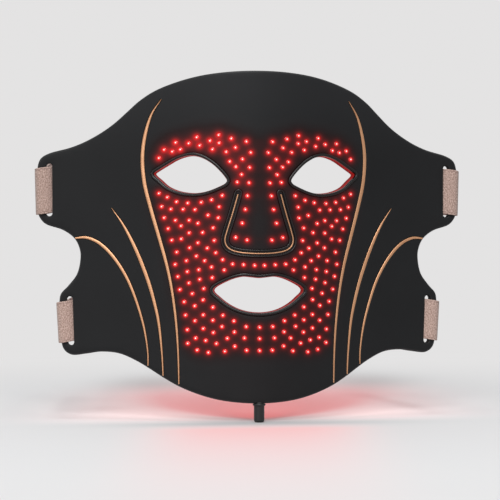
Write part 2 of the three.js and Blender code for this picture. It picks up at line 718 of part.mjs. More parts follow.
function noseRimSection() {
  const half = NOSE_RIM_WIDTH / 2;
  const channel = NOSE_CHANNEL_WIDTH / 2;
  const foot = rebateFloor + FIT_GAP;
  const top = SHEET_THICKNESS + NOSE_RIM_RISE;
  const floor = top - NOSE_CHANNEL_DEPTH;
  const shoulder = top - NOSE_RIM_SHOULDER;
  const lip = half - NOSE_RIM_SHOULDER;
  return [
    [-half, foot], [half, foot], [half, shoulder], [lip, top], [channel, top], [channel, floor],
    [-channel, floor], [-channel, top], [-lip, top], [-half, shoulder],
  ];
}

function makeNose() {
  addMesh('nose_rim', bent(bead(nosePath, noseRimSection(), false)), rimSilicone);
  const seat = SHEET_THICKNESS + NOSE_RIM_RISE - NOSE_CHANNEL_DEPTH + FIT_GAP;
  const half = NOSE_INLAY_WIDTH / 2;
  const top = seat + NOSE_INLAY_THICKNESS;
  const section = [[-half, seat], [half, seat], [half, top], [-half, top]];
  addMesh('nose_inlay', bent(bead(nosePath.slice(1, -1), section, false)), copper);
}

function makeInlays() {
  sides.forEach(([name, side]) => {
    addMesh(`${name}_long_inlay`, bent(inlaySolid('long', side)), copper);
    addMesh(`${name}_middle_inlay`, bent(inlaySolid('middle', side)), copper);
    const short = inlaySolid('short', side);
    addMesh(`${name}_short_inlay`, bent(short.intersect(regions.face)), copper);
    addMesh(`${name}_wing_inlay`, bent(short.intersect(regions[name])), copper);
  });
}

// Chin socket, turned about an upright axis through the middle of the sheet
function turned(profile, segments) {
  const points = profile.map(([radius, height]) => new THREE.Vector2(radius, height));
  const closed = points[0].x > 0 ? [...points, points[0]] : points;
  return new THREE.LatheGeometry(closed, segments).rotateX(Math.PI / 2);
}

function upright(radius, back, front, segments) {
  return turned([[0, back], [radius, back], [radius, front], [0, front]], segments);
}

function makeSocket() {
  const group = new THREE.Group();
  const levelMiddle = SHEET_THICKNESS / 2;
  group.position.set(0, -levelMiddle, 0);
  mask.add(group);
  const mouth = chinEdge - SOCKET_DROP;
  const collarTop = chinEdge - FIT_GAP;
  const collarFoot = collarTop - COLLAR_HEIGHT;
  const bodyProfile = [
    [0, mouth], [SOCKET_MOUTH_RADIUS, mouth], [SOCKET_RADIUS, mouth + SOCKET_CHAMFER],
    [SOCKET_RADIUS, collarFoot], [COLLAR_RADIUS, collarFoot], [COLLAR_RADIUS, collarTop],
    [SOCKET_RADIUS, collarTop], [SOCKET_RADIUS, socketTop], [0, socketTop],
  ];
  const barrel = asSolid(turned(bodyProfile, BARREL_SIDES));
  const boreTop = mouth + SOCKET_BORE_DEPTH;
  const bore = asSolid(upright(SOCKET_BORE_RADIUS, mouth - OVERRUN, boreTop, BORE_SIDES));
  const tongueHalf = TONGUE_WIDTH / 2;
  const tongueRing = boxRing(-tongueHalf, tongueHalf, socketTop - FIT_GAP, socketTop + TONGUE_HEIGHT);
  const tongue = bent(prism(tongueRing, boardBack, boardBack + TONGUE_THICKNESS));
  tongue.translate(0, levelMiddle, 0);
  addMesh('socket_body', asGeometry(barrel.add(asSolid(tongue)).subtract(bore)), plastic, group);

  const insulatorTop = boreTop - FIT_GAP;
  const insulatorFoot = insulatorTop - INSULATOR_HEIGHT;
  const insulator = asSolid(upright(SLEEVE_RADIUS, insulatorFoot, insulatorTop, BORE_SIDES));
  addMesh('socket_insulator', asGeometry(insulator), plastic, group);
  const sleeveTop = insulatorFoot - FIT_GAP;
  const sleeveFoot = mouth + SLEEVE_RECESS;
  const sleeveBore = SLEEVE_RADIUS - SLEEVE_WALL;
  const sleeve = turned([
    [sleeveBore, sleeveFoot], [SLEEVE_RADIUS, sleeveFoot],
    [SLEEVE_RADIUS, sleeveTop], [sleeveBore, sleeveTop],
  ], BORE_SIDES);
  addMesh('socket_sleeve', sleeve, steel, group);
  const pin = asSolid(upright(PIN_RADIUS, mouth + PIN_RECESS, sleeveTop, PIN_SIDES));
  addMesh('socket_pin', asGeometry(pin), copper, group);
}

// Straps: each is a band that loops round the outer bar of its slot and runs back past the head
function barFrame(level, side) {
  const [top, bottom] = slotEnds(level);
  const middle = top.clone().add(bottom).multiplyScalar(1 / 2);
  const edge = outlineXAt(middle.y);
  const wall = middle.x + SLOT_WIDTH / 2;
  const at = bentPoint(side * (edge + wall) / 2, middle.y, SHEET_THICKNESS / 2);
  const lean = Math.atan2(top.x - bottom.x, top.y - bottom.y);
  const loopBore = Math.hypot((edge - wall) / 2, SHEET_THICKNESS / 2) + LOOP_ROOM;
  return { at, lean: side * lean, loopBore };
}

// The outline's greatest reach to the side at a height
function outlineXAt(up) {
  const right = OUTLINE_SHARES.map(place);
  const crossings = right.slice(1).map((point, i) => {
    const before = right[i];
    const share = (up - before.y) / (point.y - before.y);
    return share >= 0 && share <= 1 ? before.x + share * (point.x - before.x) : 0;
  });
  return Math.max(...crossings);
}

// Points on a circle round the bar, from one angle through a sweep
function arcPoints(radius, from, sweep) {
  return Array.from({ length: LOOP_SIDES + 1 }, (_, i) => {
    const angle = from + (sweep * i) / LOOP_SIDES;
    return new THREE.Vector2(radius * Math.cos(angle), radius * Math.sin(angle));
  });
}

function strapGeometry(width, riseShare, loopBore) {
  const half = STRAP_THICKNESS / 2;
  const mouth = THREE.MathUtils.degToRad(LOOP_MOUTH_DEG);
  const loop = arcPoints(loopBore + STRAP_THICKNESS, Math.PI / 2 + mouth, 2 * (Math.PI - mouth));
  const tail = [[half, LOOP_NECK], [half, TAIL_LENGTH], [-half, TAIL_LENGTH], [-half, LOOP_NECK]];
  const shape = new THREE.Shape([...loop, ...tail.map(([x, y]) => new THREE.Vector2(x, y))]);
  shape.holes = [new THREE.Path(arcPoints(loopBore, 0, 2 * Math.PI).slice(0, -1))];
  const geometry = new THREE.ExtrudeGeometry(shape, { depth: width, bevelEnabled: false });
  geometry.translate(0, 0, -width / 2);
  return climbed(geometry, riseShare);
}

// Behind its neck the band climbs, so that it passes over the ears
function climbed(geometry, riseShare) {
  const at = geometry.attributes.position;
  for (let i = 0; i < at.count; i += 1) {
    at.setZ(i, at.getZ(i) + riseShare * Math.max(0, at.getY(i) - LOOP_NECK));
  }
  geometry.deleteAttribute('normal');
  geometry.deleteAttribute('uv');
  return mergeVertices(geometry, WELD);
}

// A patch lies on its tail's -X side
function patchGeometry(width, riseShare) {
  const away = STRAP_THICKNESS / 2 + FIT_GAP + PATCH_THICKNESS / 2;
  const patch = new THREE.BoxGeometry(PATCH_THICKNESS, PATCH_LENGTH, width - 2 * PATCH_MARGIN);
  patch.translate(-away, TAIL_LENGTH - PATCH_MARGIN - PATCH_LENGTH / 2, 0);
  return climbed(patch, riseShare);
}

// The left tails carry hook patches on their outer side, the right tails loop patches on their inner side
function makeStraps() {
  Object.entries(STRAPS).forEach(([level, { width, riseShare }]) => {
    sides.forEach(([name, side]) => {
      const { at, lean, loopBore } = barFrame(level, side);
      const group = new THREE.Group();
      group.position.copy(at);
      group.rotation.set(0, lean, side * THREE.MathUtils.degToRad(TAIL_LEAN_DEG));
      mask.add(group);
      addMesh(`${name}_${level}_strap`, strapGeometry(width, riseShare, loopBore), knit, group);
      const patch = side < 0 ? 'hook' : 'loop';
      addMesh(`${name}_${level}_${patch}_patch`, patchGeometry(width, riseShare), patchFabric, group);
    });
  });
}

makeFaceShell();
makeFaceLiner();
makeWing('left', -1);
makeWing('right', 1);
makeBoard();
makeChips();
makeRibbon();
addRim('left_eye_rim', eyeRings.left);
addRim('right_eye_rim', eyeRings.right);
addRim('mouth_rim', mouthRing);
makeNose();
makeInlays();
makeSocket();
makeStraps();

export default mask;
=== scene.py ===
import json
import math
import random

import bmesh
import bpy
import numpy as np
from mathutils import Matrix, Vector, geometry, kdtree


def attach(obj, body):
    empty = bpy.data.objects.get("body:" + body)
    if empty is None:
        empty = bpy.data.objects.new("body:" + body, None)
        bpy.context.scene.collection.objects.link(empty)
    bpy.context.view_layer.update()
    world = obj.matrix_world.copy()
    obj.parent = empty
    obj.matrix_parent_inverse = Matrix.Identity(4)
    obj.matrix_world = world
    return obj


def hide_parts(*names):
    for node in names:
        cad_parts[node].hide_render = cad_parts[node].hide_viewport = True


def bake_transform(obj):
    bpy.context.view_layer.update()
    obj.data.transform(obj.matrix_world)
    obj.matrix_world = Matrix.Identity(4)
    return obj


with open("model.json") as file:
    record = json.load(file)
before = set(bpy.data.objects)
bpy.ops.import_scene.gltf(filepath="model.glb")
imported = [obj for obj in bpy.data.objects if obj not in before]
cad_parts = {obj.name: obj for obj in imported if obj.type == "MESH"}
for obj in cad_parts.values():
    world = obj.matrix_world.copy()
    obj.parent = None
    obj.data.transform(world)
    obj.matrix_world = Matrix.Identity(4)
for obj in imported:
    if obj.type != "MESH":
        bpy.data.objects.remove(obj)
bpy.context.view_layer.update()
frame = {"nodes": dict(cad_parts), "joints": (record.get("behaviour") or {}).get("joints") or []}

joint_places = {joint["name"]: joint["pos_m"] for joint in frame["joints"]}

MM = 0.001
SIDES = (("left", -1), ("right", 1))

# Overall size and the bend of the sheet
HALF_WIDTH = 115
FACE_HEIGHT = 176
BEND_DEPTH = 38
BEND_REACH = 70

# Levels of the layers above the skin side
SHEET_FRONT = 4.2
SKIN_BACK = 1.3
LINER_FRONT = 1.2
POCKET_FRONT = 2.3
REBATE_FLOOR = 3.3
GROOVE_FLOOR = 3.4

# Lights and the board's pocket
WINDOW_RADIUS = 1.45
WINDOW_SIDES = 16
BOARD_ROOM = 0.3
BOARD_HOLE_ROOM = 1.7

# Raised rims: their outer reach from the opening's ring, and how far the opening's wall leans out
RIM_REACH = 2.05
RIM_ROOM = 0.1
WALL_LEAN = 0.34
NOSE_HALF_WIDTH = 2.1
NOSE_ROOM = 0.15

# Copper inlays: widest width of each kind, and the gap of the groove beside them
INLAY_WIDTHS = {"long": 1.8, "middle": 1.7, "short": 1.5}
GROOVE_ROOM = 0.32

# Slots
SLOT_HALF_WIDTH = 1.75

# Spacing of points along rings and over the sheet
EDGE_SPACING = 1.1
OPENING_SPACING = 0.9
NOSE_SPACING = 0.9
INLAY_SPACING = 1.5
SAMPLE_SPACING = 3.0
BACK_SPACING = 5.0
LIT_RING_RADII = (1.95, 2.5, 3.2, 4.1)
CURVE_STEPS = 24
END_STEPS = 10
TINY = 1e-6

# The wings bend from here, measured from the middle of the face
BLEND_START = 66

# Rounded edges: steps of (way in from the edge, level)
SKIN_EDGE = (
    (1.3, SHEET_FRONT), (0.85, 4.11), (0.42, 3.83), (0.13, 3.36), (0, 2.8), (0, 1.5), (0.2, SKIN_BACK),
)
LINER_EDGE = ((0.2, LINER_FRONT), (0, 1.0), (0, 0.62), (0.1, 0.28), (0.3, 0.07), (0.6, 0))
WINDOW_EDGE = ((-0.14, SHEET_FRONT), (-0.03, 4.16), (0, 4.05), (0, POCKET_FRONT))
SLOT_EDGE = (
    (-0.7, SHEET_FRONT), (-0.3, 4.1), (-0.07, 3.85), (0, 3.5), (0, 1.5), (-0.2, SKIN_BACK),
)

# Outline of the right half, from the top down: shares of half width and of face height
OUTLINE_SHARES = (
    (0, 0.316), (0.128, 0.313), (0.252, 0.303), (0.356, 0.286), (0.458, 0.26), (0.529, 0.23),
    (0.582, 0.199), (0.644, 0.163), (0.7, 0.137), (0.774, 0.11), (0.846, 0.091), (0.952, 0.072),
    (0.987, 0.058), (1.002, 0.036), (1.001, -0.11), (0.988, -0.129), (0.964, -0.144), (0.881, -0.163),
    (0.828, -0.189), (0.804, -0.223), (0.802, -0.253), (0.818, -0.297), (0.858, -0.332),
    (0.893, -0.357), (0.9, -0.377), (0.889, -0.511), (0.875, -0.531), (0.842, -0.544), (0.77, -0.54),
    (0.705, -0.534), (0.62, -0.539), (0.538, -0.562), (0.482, -0.584), (0.416, -0.612), (0.345, -0.638),
    (0.246, -0.663), (0.147, -0.678), (0, -0.685),
)
EYE_SHARES = (
    (0.474, 0.008), (0.463, 0.0135), (0.421, 0.031), (0.367, 0.051), (0.312, 0.06), (0.27, 0.055),
    (0.222, 0.037), (0.18, 0.011), (0.158, -0.007), (0.152, -0.015), (0.161, -0.023), (0.173, -0.0275),
    (0.231, -0.0435), (0.272, -0.05), (0.31, -0.051), (0.365, -0.045), (0.413, -0.031), (0.448, -0.01),
    (0.467, 0.001),
)
MOUTH_HALF_SHARES = (
    (0, -0.308), (0.042, -0.3055), (0.08, -0.304), (0.148, -0.317), (0.211, -0.344), (0.181, -0.366),
    (0.1325, -0.389), (0.0725, -0.405), (0, -0.411),
)
NOSE_HALF_SHARES = (
    (0.0935, -0.0425), (0.124, -0.114), (0.149, -0.167), (0.158, -0.192), (0.153, -0.208),
    (0.137, -0.22), (0.1, -0.229), (0, -0.234),
)

# Centre lines of the inlays, top to bottom, each point with its share of the widest width
INLAY_SHARES = {
    "long": (
        (0.442, 0.233, 0.12), (0.485, 0.189, 0.55), (0.513, 0.129, 0.9), (0.526, 0.062, 1),
        (0.518, -0.017, 1), (0.49, -0.096, 0.95), (0.449, -0.193, 0.9), (0.417, -0.272, 0.8),
        (0.394, -0.35, 0.7), (0.376, -0.447, 0.6), (0.367, -0.543, 0.45), (0.364, -0.628, 0.35),
    ),
    "middle": (
        (0.665, -0.095, 0.12), (0.613, -0.146, 0.6), (0.555, -0.223, 0.95), (0.499, -0.321, 1),
        (0.469, -0.394, 0.85), (0.454, -0.443, 0.75), (0.439, -0.54, 0.48), (0.434, -0.604, 0.36),
    ),
    "short": (
        (0.831, -0.187, 0.6), (0.784, -0.185, 0.85), (0.738, -0.1955, 0.95), (0.7, -0.2135, 1),
        (0.66, -0.242, 1), (0.62, -0.28, 0.95), (0.585, -0.324, 0.9), (0.549, -0.388, 0.8),
        (0.519, -0.46, 0.65), (0.502, -0.535, 0.48), (0.501, -0.574, 0.4),
    ),
}

# Outline of the lit board's right half, from the top down
BOARD_SHARES = (
    (0, 0.15), (0.25, 0.15), (0.4, 0.125), (0.485, 0.07), (0.495, -0.02), (0.48, -0.09),
    (0.44, -0.185), (0.41, -0.27), (0.385, -0.35), (0.365, -0.45), (0.35, -0.55), (0.2, -0.56),
    (0.17, -0.612), (0, -0.62),
)

# Ends of the strap slots: top and bottom of the upper and of the lower slot
SLOT_SHARES = {
    "upper": ((0.948, 0.042), (0.948, -0.12)),
    "lower": ((0.852, -0.365), (0.845, -0.515)),
}

# Lights of the right half, row by row
LIGHT_SHARES = (
    # brow
    (0.285, 0.116), (0.187, 0.122), (0.13, 0.111), (0.061, 0.102), (0.379, 0.101), (0.321, 0.098),
    (0.226, 0.105), (0.185, 0.098), (0.272, 0.091), (0.111, 0.084), (0.43, 0.08), (0.394, 0.074),
    (0.358, 0.08), (0.215, 0.079), (0.153, 0.071), (0.041, 0.069), (0.453, 0.055),
    # bridge of the nose
    (0.079, 0.049), (0.137, 0.042), (0.109, 0.026), (0.046, 0.024), (0.083, 0.003),
    (0.103, -0.02), (0.049, -0.022),
    # under the eye and beside the nose
    (0.171, -0.06), (0.056, -0.061), (0.453, -0.052), (0.416, -0.064), (0.375, -0.078),
    (0.325, -0.082), (0.265, -0.08), (0.219, -0.073), (0.441, -0.092), (0.4, -0.1),
    (0.346, -0.101), (0.293, -0.102), (0.185, -0.094), (0.066, -0.102), (0.235, -0.119),
    (0.189, -0.127), (0.43, -0.126), (0.38, -0.134), (0.319, -0.134), (0.28, -0.143),
    (0.08, -0.143), (0.355, -0.151), (0.212, -0.157), (0.412, -0.159), (0.319, -0.172),
    (0.259, -0.171), (0.396, -0.194), (0.354, -0.19), (0.207, -0.195), (0.11, -0.186),
    (0.058, -0.194), (0.28, -0.202), (0.317, -0.217), (0.238, -0.218),
    # cheek and beside the mouth
    (0.374, -0.23), (0.287, -0.242), (0.2, -0.232), (0.331, -0.256), (0.25, -0.256),
    (0.169, -0.253), (0.124, -0.266), (0.074, -0.268), (0.023, -0.27), (0.381, -0.267),
    (0.219, -0.275), (0.327, -0.289), (0.276, -0.283), (0.162, -0.284), (0.369, -0.304),
    (0.272, -0.312), (0.216, -0.307), (0.32, -0.323), (0.36, -0.343), (0.254, -0.34),
    (0.305, -0.355), (0.341, -0.38), (0.257, -0.374), (0.294, -0.392), (0.213, -0.396),
    # chin
    (0.335, -0.42), (0.256, -0.419), (0.168, -0.42), (0.293, -0.437), (0.213, -0.435),
    (0.118, -0.437), (0.327, -0.464), (0.256, -0.46), (0.172, -0.454), (0.062, -0.454),
    (0.211, -0.472), (0.116, -0.47), (0.29, -0.489), (0.148, -0.489), (0.07, -0.488),
    (0.245, -0.496), (0.325, -0.505), (0.197, -0.505), (0.114, -0.513), (0.283, -0.525),
    (0.159, -0.528), (0.233, -0.532), (0.06, -0.525),
)
CENTRE_LIGHT_SHARES = ((0, -0.456), (0, -0.49), (0, -0.526))
DRAW_IN_SHARE = 0.06
DRAW_IN_REACH_SHARE = 0.6


# Plan points and rings
def place(shares):
    return np.array([(point[0] * HALF_WIDTH, point[1] * FACE_HEIGHT) for point in shares])


def place_features(shares):
    """The features' places: their shares across are drawn in towards the middle line."""
    return place([(across * (1 - DRAW_IN_SHARE * math.exp(-((across / DRAW_IN_REACH_SHARE) ** 2))), up)
                  for across, up, *_ in shares])


def mirrored(points):
    return (points * (-1, 1))[::-1]


def on_side(points, side):
    return points if side > 0 else mirrored(points)


def mirrored_ring(right):
    return np.vstack([right, mirrored(right)[1:-1]])


def curve_span(before, start, end, after):
    """Points of the centripetal curve from start up to end."""
    knots = ((before, start), (start, end), (end, after))
    first, middle, last = (max(math.dist(a, b) ** 0.5, TINY) for a, b in knots)
    leave = ((start - before) / first - (end - before) / (first + middle) + (end - start) / middle) * middle
    reach = ((end - start) / middle - (after - start) / (middle + last) + (after - end) / last) * middle
    t = np.linspace(0, 1, CURVE_STEPS, endpoint=False)[:, None]
    rise = 3 * t**2 - 2 * t**3
    return (1 - rise) * start + rise * end + (t**3 - 2 * t**2 + t) * leave + (t**3 - t**2) * reach


def resampled(points, spacing):
    """Points at an even spacing along a fine path, both ends kept. Extra columns are carried along."""
    steps = np.linalg.norm(np.diff(points[:, :2], axis=0), axis=1)
    along = np.concatenate([[0], np.cumsum(steps)])
    count = max(2, round(along[-1] / spacing) + 1)
    wanted = np.linspace(0, along[-1], count)
    return np.column_stack([np.interp(wanted, along, column) for column in points.T])


def smooth(points, closed, spacing):
    if closed:
        knots = np.vstack([points[-1:], points, points[:2]])
    else:
        knots = np.vstack([2 * points[:1] - points[1:2], points, 2 * points[-1:] - points[-2:-1]])
    spans = [curve_span(*knots[i:i + 4]) for i in range(len(knots) - 3)]
    fine = np.vstack([*spans, knots[-2:-1]])
    taken = resampled(fine, spacing)
    return taken[:-1] if closed else taken


def path_normals(points, closed):
    """Unit normals to the right of the path."""
    if closed:
        before = np.roll(points, 1, axis=0)
        after = np.roll(points, -1, axis=0)
    else:
        before = np.vstack([points[:1], points[:-1]])
        after = np.vstack([points[1:], points[-1:]])
    along = after - before
    along /= np.linalg.norm(along, axis=1)[:, None]
    return np.column_stack([along[:, 1], -along[:, 0]])


def ring_turn(ring):
    """1 for a counter-clockwise ring, whose right side is outside, and -1 for a clockwise one."""
    x, y = ring.T
    return math.copysign(1, np.sum(x * np.roll(y, -1) - np.roll(x, -1) * y))


def grown(ring, distance):
    return ring + path_normals(ring, True) * ring_turn(ring) * distance


def ribbon(path, half_widths):
    offsets = path_normals(path, False) * np.reshape(half_widths, (-1, 1))
    return np.vstack([path + offsets, (path - offsets)[::-1]])


def stadium(path, distance):
    """The ring at a distance round an open path, with round ends."""
    normals = path_normals(path, False)
    turns = np.linspace(0, math.pi, END_STEPS + 1)[1:-1]
    right = path + normals * distance
    left = (path - normals * distance)[::-1]

    def end_cap(centre, normal):
        ahead = np.array([-normal[1], normal[0]])
        return [centre + distance * (math.cos(a) * normal + math.sin(a) * ahead) for a in turns]

    last_cap = end_cap(path[-1], normals[-1])
    first_cap = end_cap(path[0], -normals[0])
    return np.vstack([right, last_cap, left, first_cap])


def disc(centre, radius, sides=WINDOW_SIDES, turn=0.0):
    angles = (np.arange(sides) + turn) * 2 * math.pi / sides
    return centre + radius * np.column_stack([np.cos(angles), np.sin(angles)])


def inside(ring, points):
    """Which points lie inside a ring."""
    x, y = points[:, 0][:, None], points[:, 1][:, None]
    x0, y0 = ring[:, 0], ring[:, 1]
    x1, y1 = np.roll(x0, -1), np.roll(y0, -1)
    rise = np.where(y1 == y0, TINY, y1 - y0)
    crossed = ((y0 > y) != (y1 > y)) & (x < x0 + (y - y0) / rise * (x1 - x0))
    return np.sum(crossed, axis=1) % 2 == 1


def outside_all(holes, points):
    """Which points lie outside every hole."""
    kept = np.ones(len(points), bool)
    for hole in holes:
        near = kept & np.all((points >= hole.min(0)) & (points <= hole.max(0)), axis=1)
        kept[near] = ~inside(hole, points[near])
    return kept


def bent(points):
    """Flat points in millimetres, drawn back on both sides of the nose, in metres."""
    across, up, level = np.asarray(points, float).T
    back = BEND_DEPTH * (1 - np.exp(-((across / BEND_REACH) ** 2)))
    slope = (2 * across / BEND_REACH**2) * (BEND_DEPTH - back)
    size = np.hypot(slope, 1)
    return np.column_stack([across + slope / size * level, back - level / size, up]) * MM


# Plan shapes that several pieces follow
outline_ring = smooth(mirrored_ring(place(OUTLINE_SHARES)), True, EDGE_SPACING)
eye_ring = smooth(place_features(EYE_SHARES), True, OPENING_SPACING)
mouth_ring = smooth(mirrored_ring(place_features(MOUTH_HALF_SHARES)), True, OPENING_SPACING)
opening_rings = {"left_eye": on_side(eye_ring, -1), "right_eye": eye_ring, "mouth": mouth_ring}
nose_half = place_features(NOSE_HALF_SHARES)
nose_path = smooth(np.vstack([nose_half, mirrored(nose_half)[1:]]), False, NOSE_SPACING)
nose_spine = nose_path[2:-2]
board_ring = mirrored_ring(place(BOARD_SHARES))
right_lights = place_features(LIGHT_SHARES)
light_places = np.vstack([right_lights, mirrored(right_lights), place_features(CENTRE_LIGHT_SHARES)])


def slot_axis(level, side):
    top, bottom = place(SLOT_SHARES[level])
    along = (top - bottom) / math.dist(top, bottom)
    axis = np.array([bottom + along * SLOT_HALF_WIDTH, top - along * SLOT_HALF_WIDTH])
    return on_side(resampled(axis, SAMPLE_SPACING), side)


slot_axes = [slot_axis(level, side) for level in SLOT_SHARES for _, side in SIDES]


def inlay_line(kind, side):
    """The centre line of an inlay and its half width at each point."""
    shares = INLAY_SHARES[kind]
    widths = [point[2] * INLAY_WIDTHS[kind] / 2 for point in shares]
    line = smooth(np.column_stack([place_features(shares), widths]), False, INLAY_SPACING)
    path, half_widths = line[:, :2], line[:, 2]
    return (path, half_widths) if side > 0 else (mirrored(path), half_widths[::-1])


# How the lights show on the sheet: their halo's fade, their haze's reach, and where they are strongest
HALO_FADE = 0.75
HALO_START = 1.1
HAZE_REACH = 4.2
POWER_ACROSS = 0.0055
POWER_UP = 0.005
POWER_LEVEL = -30
BROW_PLACE = (-35, 18)
BROW_SPREAD = (30, 14)
BROW_POWER = 1.1
LEAST_GLOW = 1e-12


# Meshes being made
class Drawing:
    """A mesh being made. Each face has a kind, the number of its material."""

    def __init__(self):
        self.points = []
        self.faces = []
        self.kinds = []

    def add(self, points):
        start = len(self.points)
        self.points.extend(points)
        return list(range(start, len(self.points)))

    def face(self, corners, kind=0):
        self.faces.append(corners)
        self.kinds.append(kind)

    def loft(self, rows, kind=0, closed=False):
        """Walls between rings of point numbers, each of an equal count."""
        pairs = list(zip(rows, rows[1:]))
        if closed:
            pairs.append((rows[-1], rows[0]))
        for lower, upper in pairs:
            for i in range(len(lower)):
                self.face((lower[i - 1], lower[i], upper[i], upper[i - 1]), kind)

    def rod(self, rings, kind=0):
        """A closed run of rings of points, with a face at each end."""
        rows = [self.add(ring) for ring in rings]
        self.loft(rows, kind)
        for row in (rows[0], rows[-1]):
            self.face(tuple(row), kind)

    def mesh(self, name, sharp_deg):
        return made_mesh(name, self.points, self.faces, self.kinds, sharp_deg)


class Flat(Drawing):
    """A mesh drawn in the flat plan, at levels above the skin side."""

    def ring(self, plan, level):
        return self.add((x, y, z) for (x, y), z in zip(plan, np.broadcast_to(level, len(plan))))

    def stack(self, rings, kind=0, closed=False):
        """Walls between rings of an equal count, each a (plan ring, level) pair."""
        self.loft([self.ring(plan, level) for plan, level in rings], kind, closed)

    def fill(self, ring, holes, samples, level):
        """A flat face within a ring, around its holes, through the sample points."""
        rings = [ring, *holes]
        points = np.vstack([*rings, samples])
        edges = []
        start = 0
        for one in rings:
            edges += [(start + i, start + (i + 1) % len(one)) for i in range(len(one))]
            start += len(one)
        corners = [Vector(point) for point in points]
        places, _, triangles, *_ = geometry.delaunay_2d_cdt(corners, edges, [], 0, TINY)
        plan = np.array([tuple(point) for point in places])
        middles = plan[np.array(triangles)].mean(axis=1)
        kept = inside(ring, middles) & outside_all(holes, middles)
        numbers = self.ring(plan, level)
        for wanted, triangle in zip(kept, triangles):
            if wanted:
                self.face(tuple(numbers[i] for i in triangle))

    def welded(self):
        """Points and faces with equal points joined and collapsed faces dropped."""
        rounded = np.round(np.array(self.points), 4)
        points, numbers = np.unique(rounded, axis=0, return_inverse=True)
        numbers = numbers.reshape(-1)
        faces = []
        kinds = []
        for face, kind in zip(self.faces, self.kinds):
            corners = list(dict.fromkeys(int(numbers[i]) for i in face))
            if len(corners) > 2:
                faces.append(corners)
                kinds.append(kind)
        return points, faces, kinds


def made_mesh(name, points, faces, kinds, sharp_deg):
    """A mesh with its faces pointing outwards, smooth apart from the edges sharper than the angle."""
    mesh = bpy.data.meshes.new(name)
    mesh.from_pydata(points, [], faces)
    mesh.polygons.foreach_set("material_index", kinds)
    work = bmesh.new()
    work.from_mesh(mesh)
    bmesh.ops.recalc_face_normals(work, faces=work.faces)
    work.to_mesh(mesh)
    work.free()
    mesh.shade_smooth()
    mesh.set_sharp_from_angle(angle=math.radians(sharp_deg))
    return mesh


def edge_rings(ring, steps, way=-1):
    """Rings for the steps of a rounded edge; way is -1 where the sheet lies inside the ring."""
    return [(grown(ring, way * inset), level) for inset, level in steps]


def stadium_rings(path, steps):
    """Rings with round ends along a path, for the steps of a section."""
    return [(stadium(path, distance), level) for distance, level in steps]


def slot_rings(steps, way):
    """The rings of each slot's edge; way is 1 where the steps lead away from the slot's line."""
    section = [(SLOT_HALF_WIDTH + way * inset, level) for inset, level in steps]
    return [stadium_rings(axis, section) for axis in slot_axes]


def light_power(at):
    """How strongly a light shows on the sheet: more on the left and above, and most at the left brow."""
    brow = math.hypot((at[0] - BROW_PLACE[0]) / BROW_SPREAD[0], (at[1] - BROW_PLACE[1]) / BROW_SPREAD[1])
    return 1 - POWER_ACROSS * at[0] + POWER_UP * (at[1] - POWER_LEVEL) + BROW_POWER * math.exp(-(brow**2))


def light_numbers(points):
    """For each point, a soft least distance from the lights, their broad glow, and the level."""
    close = np.zeros(len(points))
    haze = np.zeros(len(points))
    for at in light_places:
        away = np.hypot(points[:, 0] - at[0], points[:, 1] - at[1])
        close += light_power(at) * np.exp(-away / HALO_FADE)
        haze += light_power(at) * np.exp(-(away**2) / (2 * HAZE_REACH**2))
    distance = -HALO_FADE * np.log(np.maximum(close, LEAST_GLOW))
    return {"light_distance": distance, "light_haze": haze, "level": points[:, 2]}


def add_numbers(mesh, numbers):
    for name, values in numbers.items():
        attribute = mesh.attributes.new(name, "FLOAT", "POINT")
        attribute.data.foreach_set("value", np.asarray(values, np.float32))


def flat_mesh(name, flat, sharp_deg=35):
    """The bent mesh of a flat drawing, with the lights' numbers kept at each point."""
    points, faces, kinds = flat.welded()
    mesh = made_mesh(name, bent(points).tolist(), faces, kinds, sharp_deg)
    add_numbers(mesh, light_numbers(points))
    return mesh


def new_piece(mesh, materials):
    for material in materials:
        mesh.materials.append(material)
    piece = bpy.data.objects.new(mesh.name, mesh)
    bpy.context.collection.objects.link(piece)
    return piece


def finished(mesh, materials, nodes, body):
    """The piece of a mesh with its materials, which hides the nodes it stands for and rides on the body,
    apart from a wing's piece, which stays in place.
    """
    piece = new_piece(mesh, materials)
    if nodes:
        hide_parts(*nodes)
    if body.endswith("_wing"):
        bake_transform(piece)
    else:
        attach(piece, body)


def read_array(items, name, count, kind):
    values = np.zeros(count, kind)
    items.foreach_get(name, values)
    return values


def part_of(mesh, name, wanted, loops, sizes):
    """The faces asked for as a mesh of their own that is shaded as the whole is."""
    of_loop = np.repeat(wanted, sizes)
    used, numbers = np.unique(loops[of_loop], return_inverse=True)
    faces = [part.tolist() for part in np.split(numbers, np.cumsum(sizes[wanted])[:-1])]
    places = read_array(mesh.vertices, "co", len(mesh.vertices) * 3, float)
    made = bpy.data.meshes.new(name)
    made.from_pydata(places.reshape(-1, 3)[used].tolist(), [], faces)
    kinds = read_array(mesh.polygons, "material_index", len(sizes), int)
    made.polygons.foreach_set("material_index", kinds[wanted].tolist())
    for label in ("light_distance", "light_haze", "level"):
        values = read_array(mesh.attributes[label].data, "value", len(mesh.vertices), np.float32)
        add_numbers(made, {label: values[used]})
    normals = read_array(mesh.corner_normals, "vector", len(mesh.loops) * 3, np.float32)
    made.shade_smooth()
    made.normals_split_custom_set(normals.reshape(-1, 3)[of_loop].tolist())
    return made


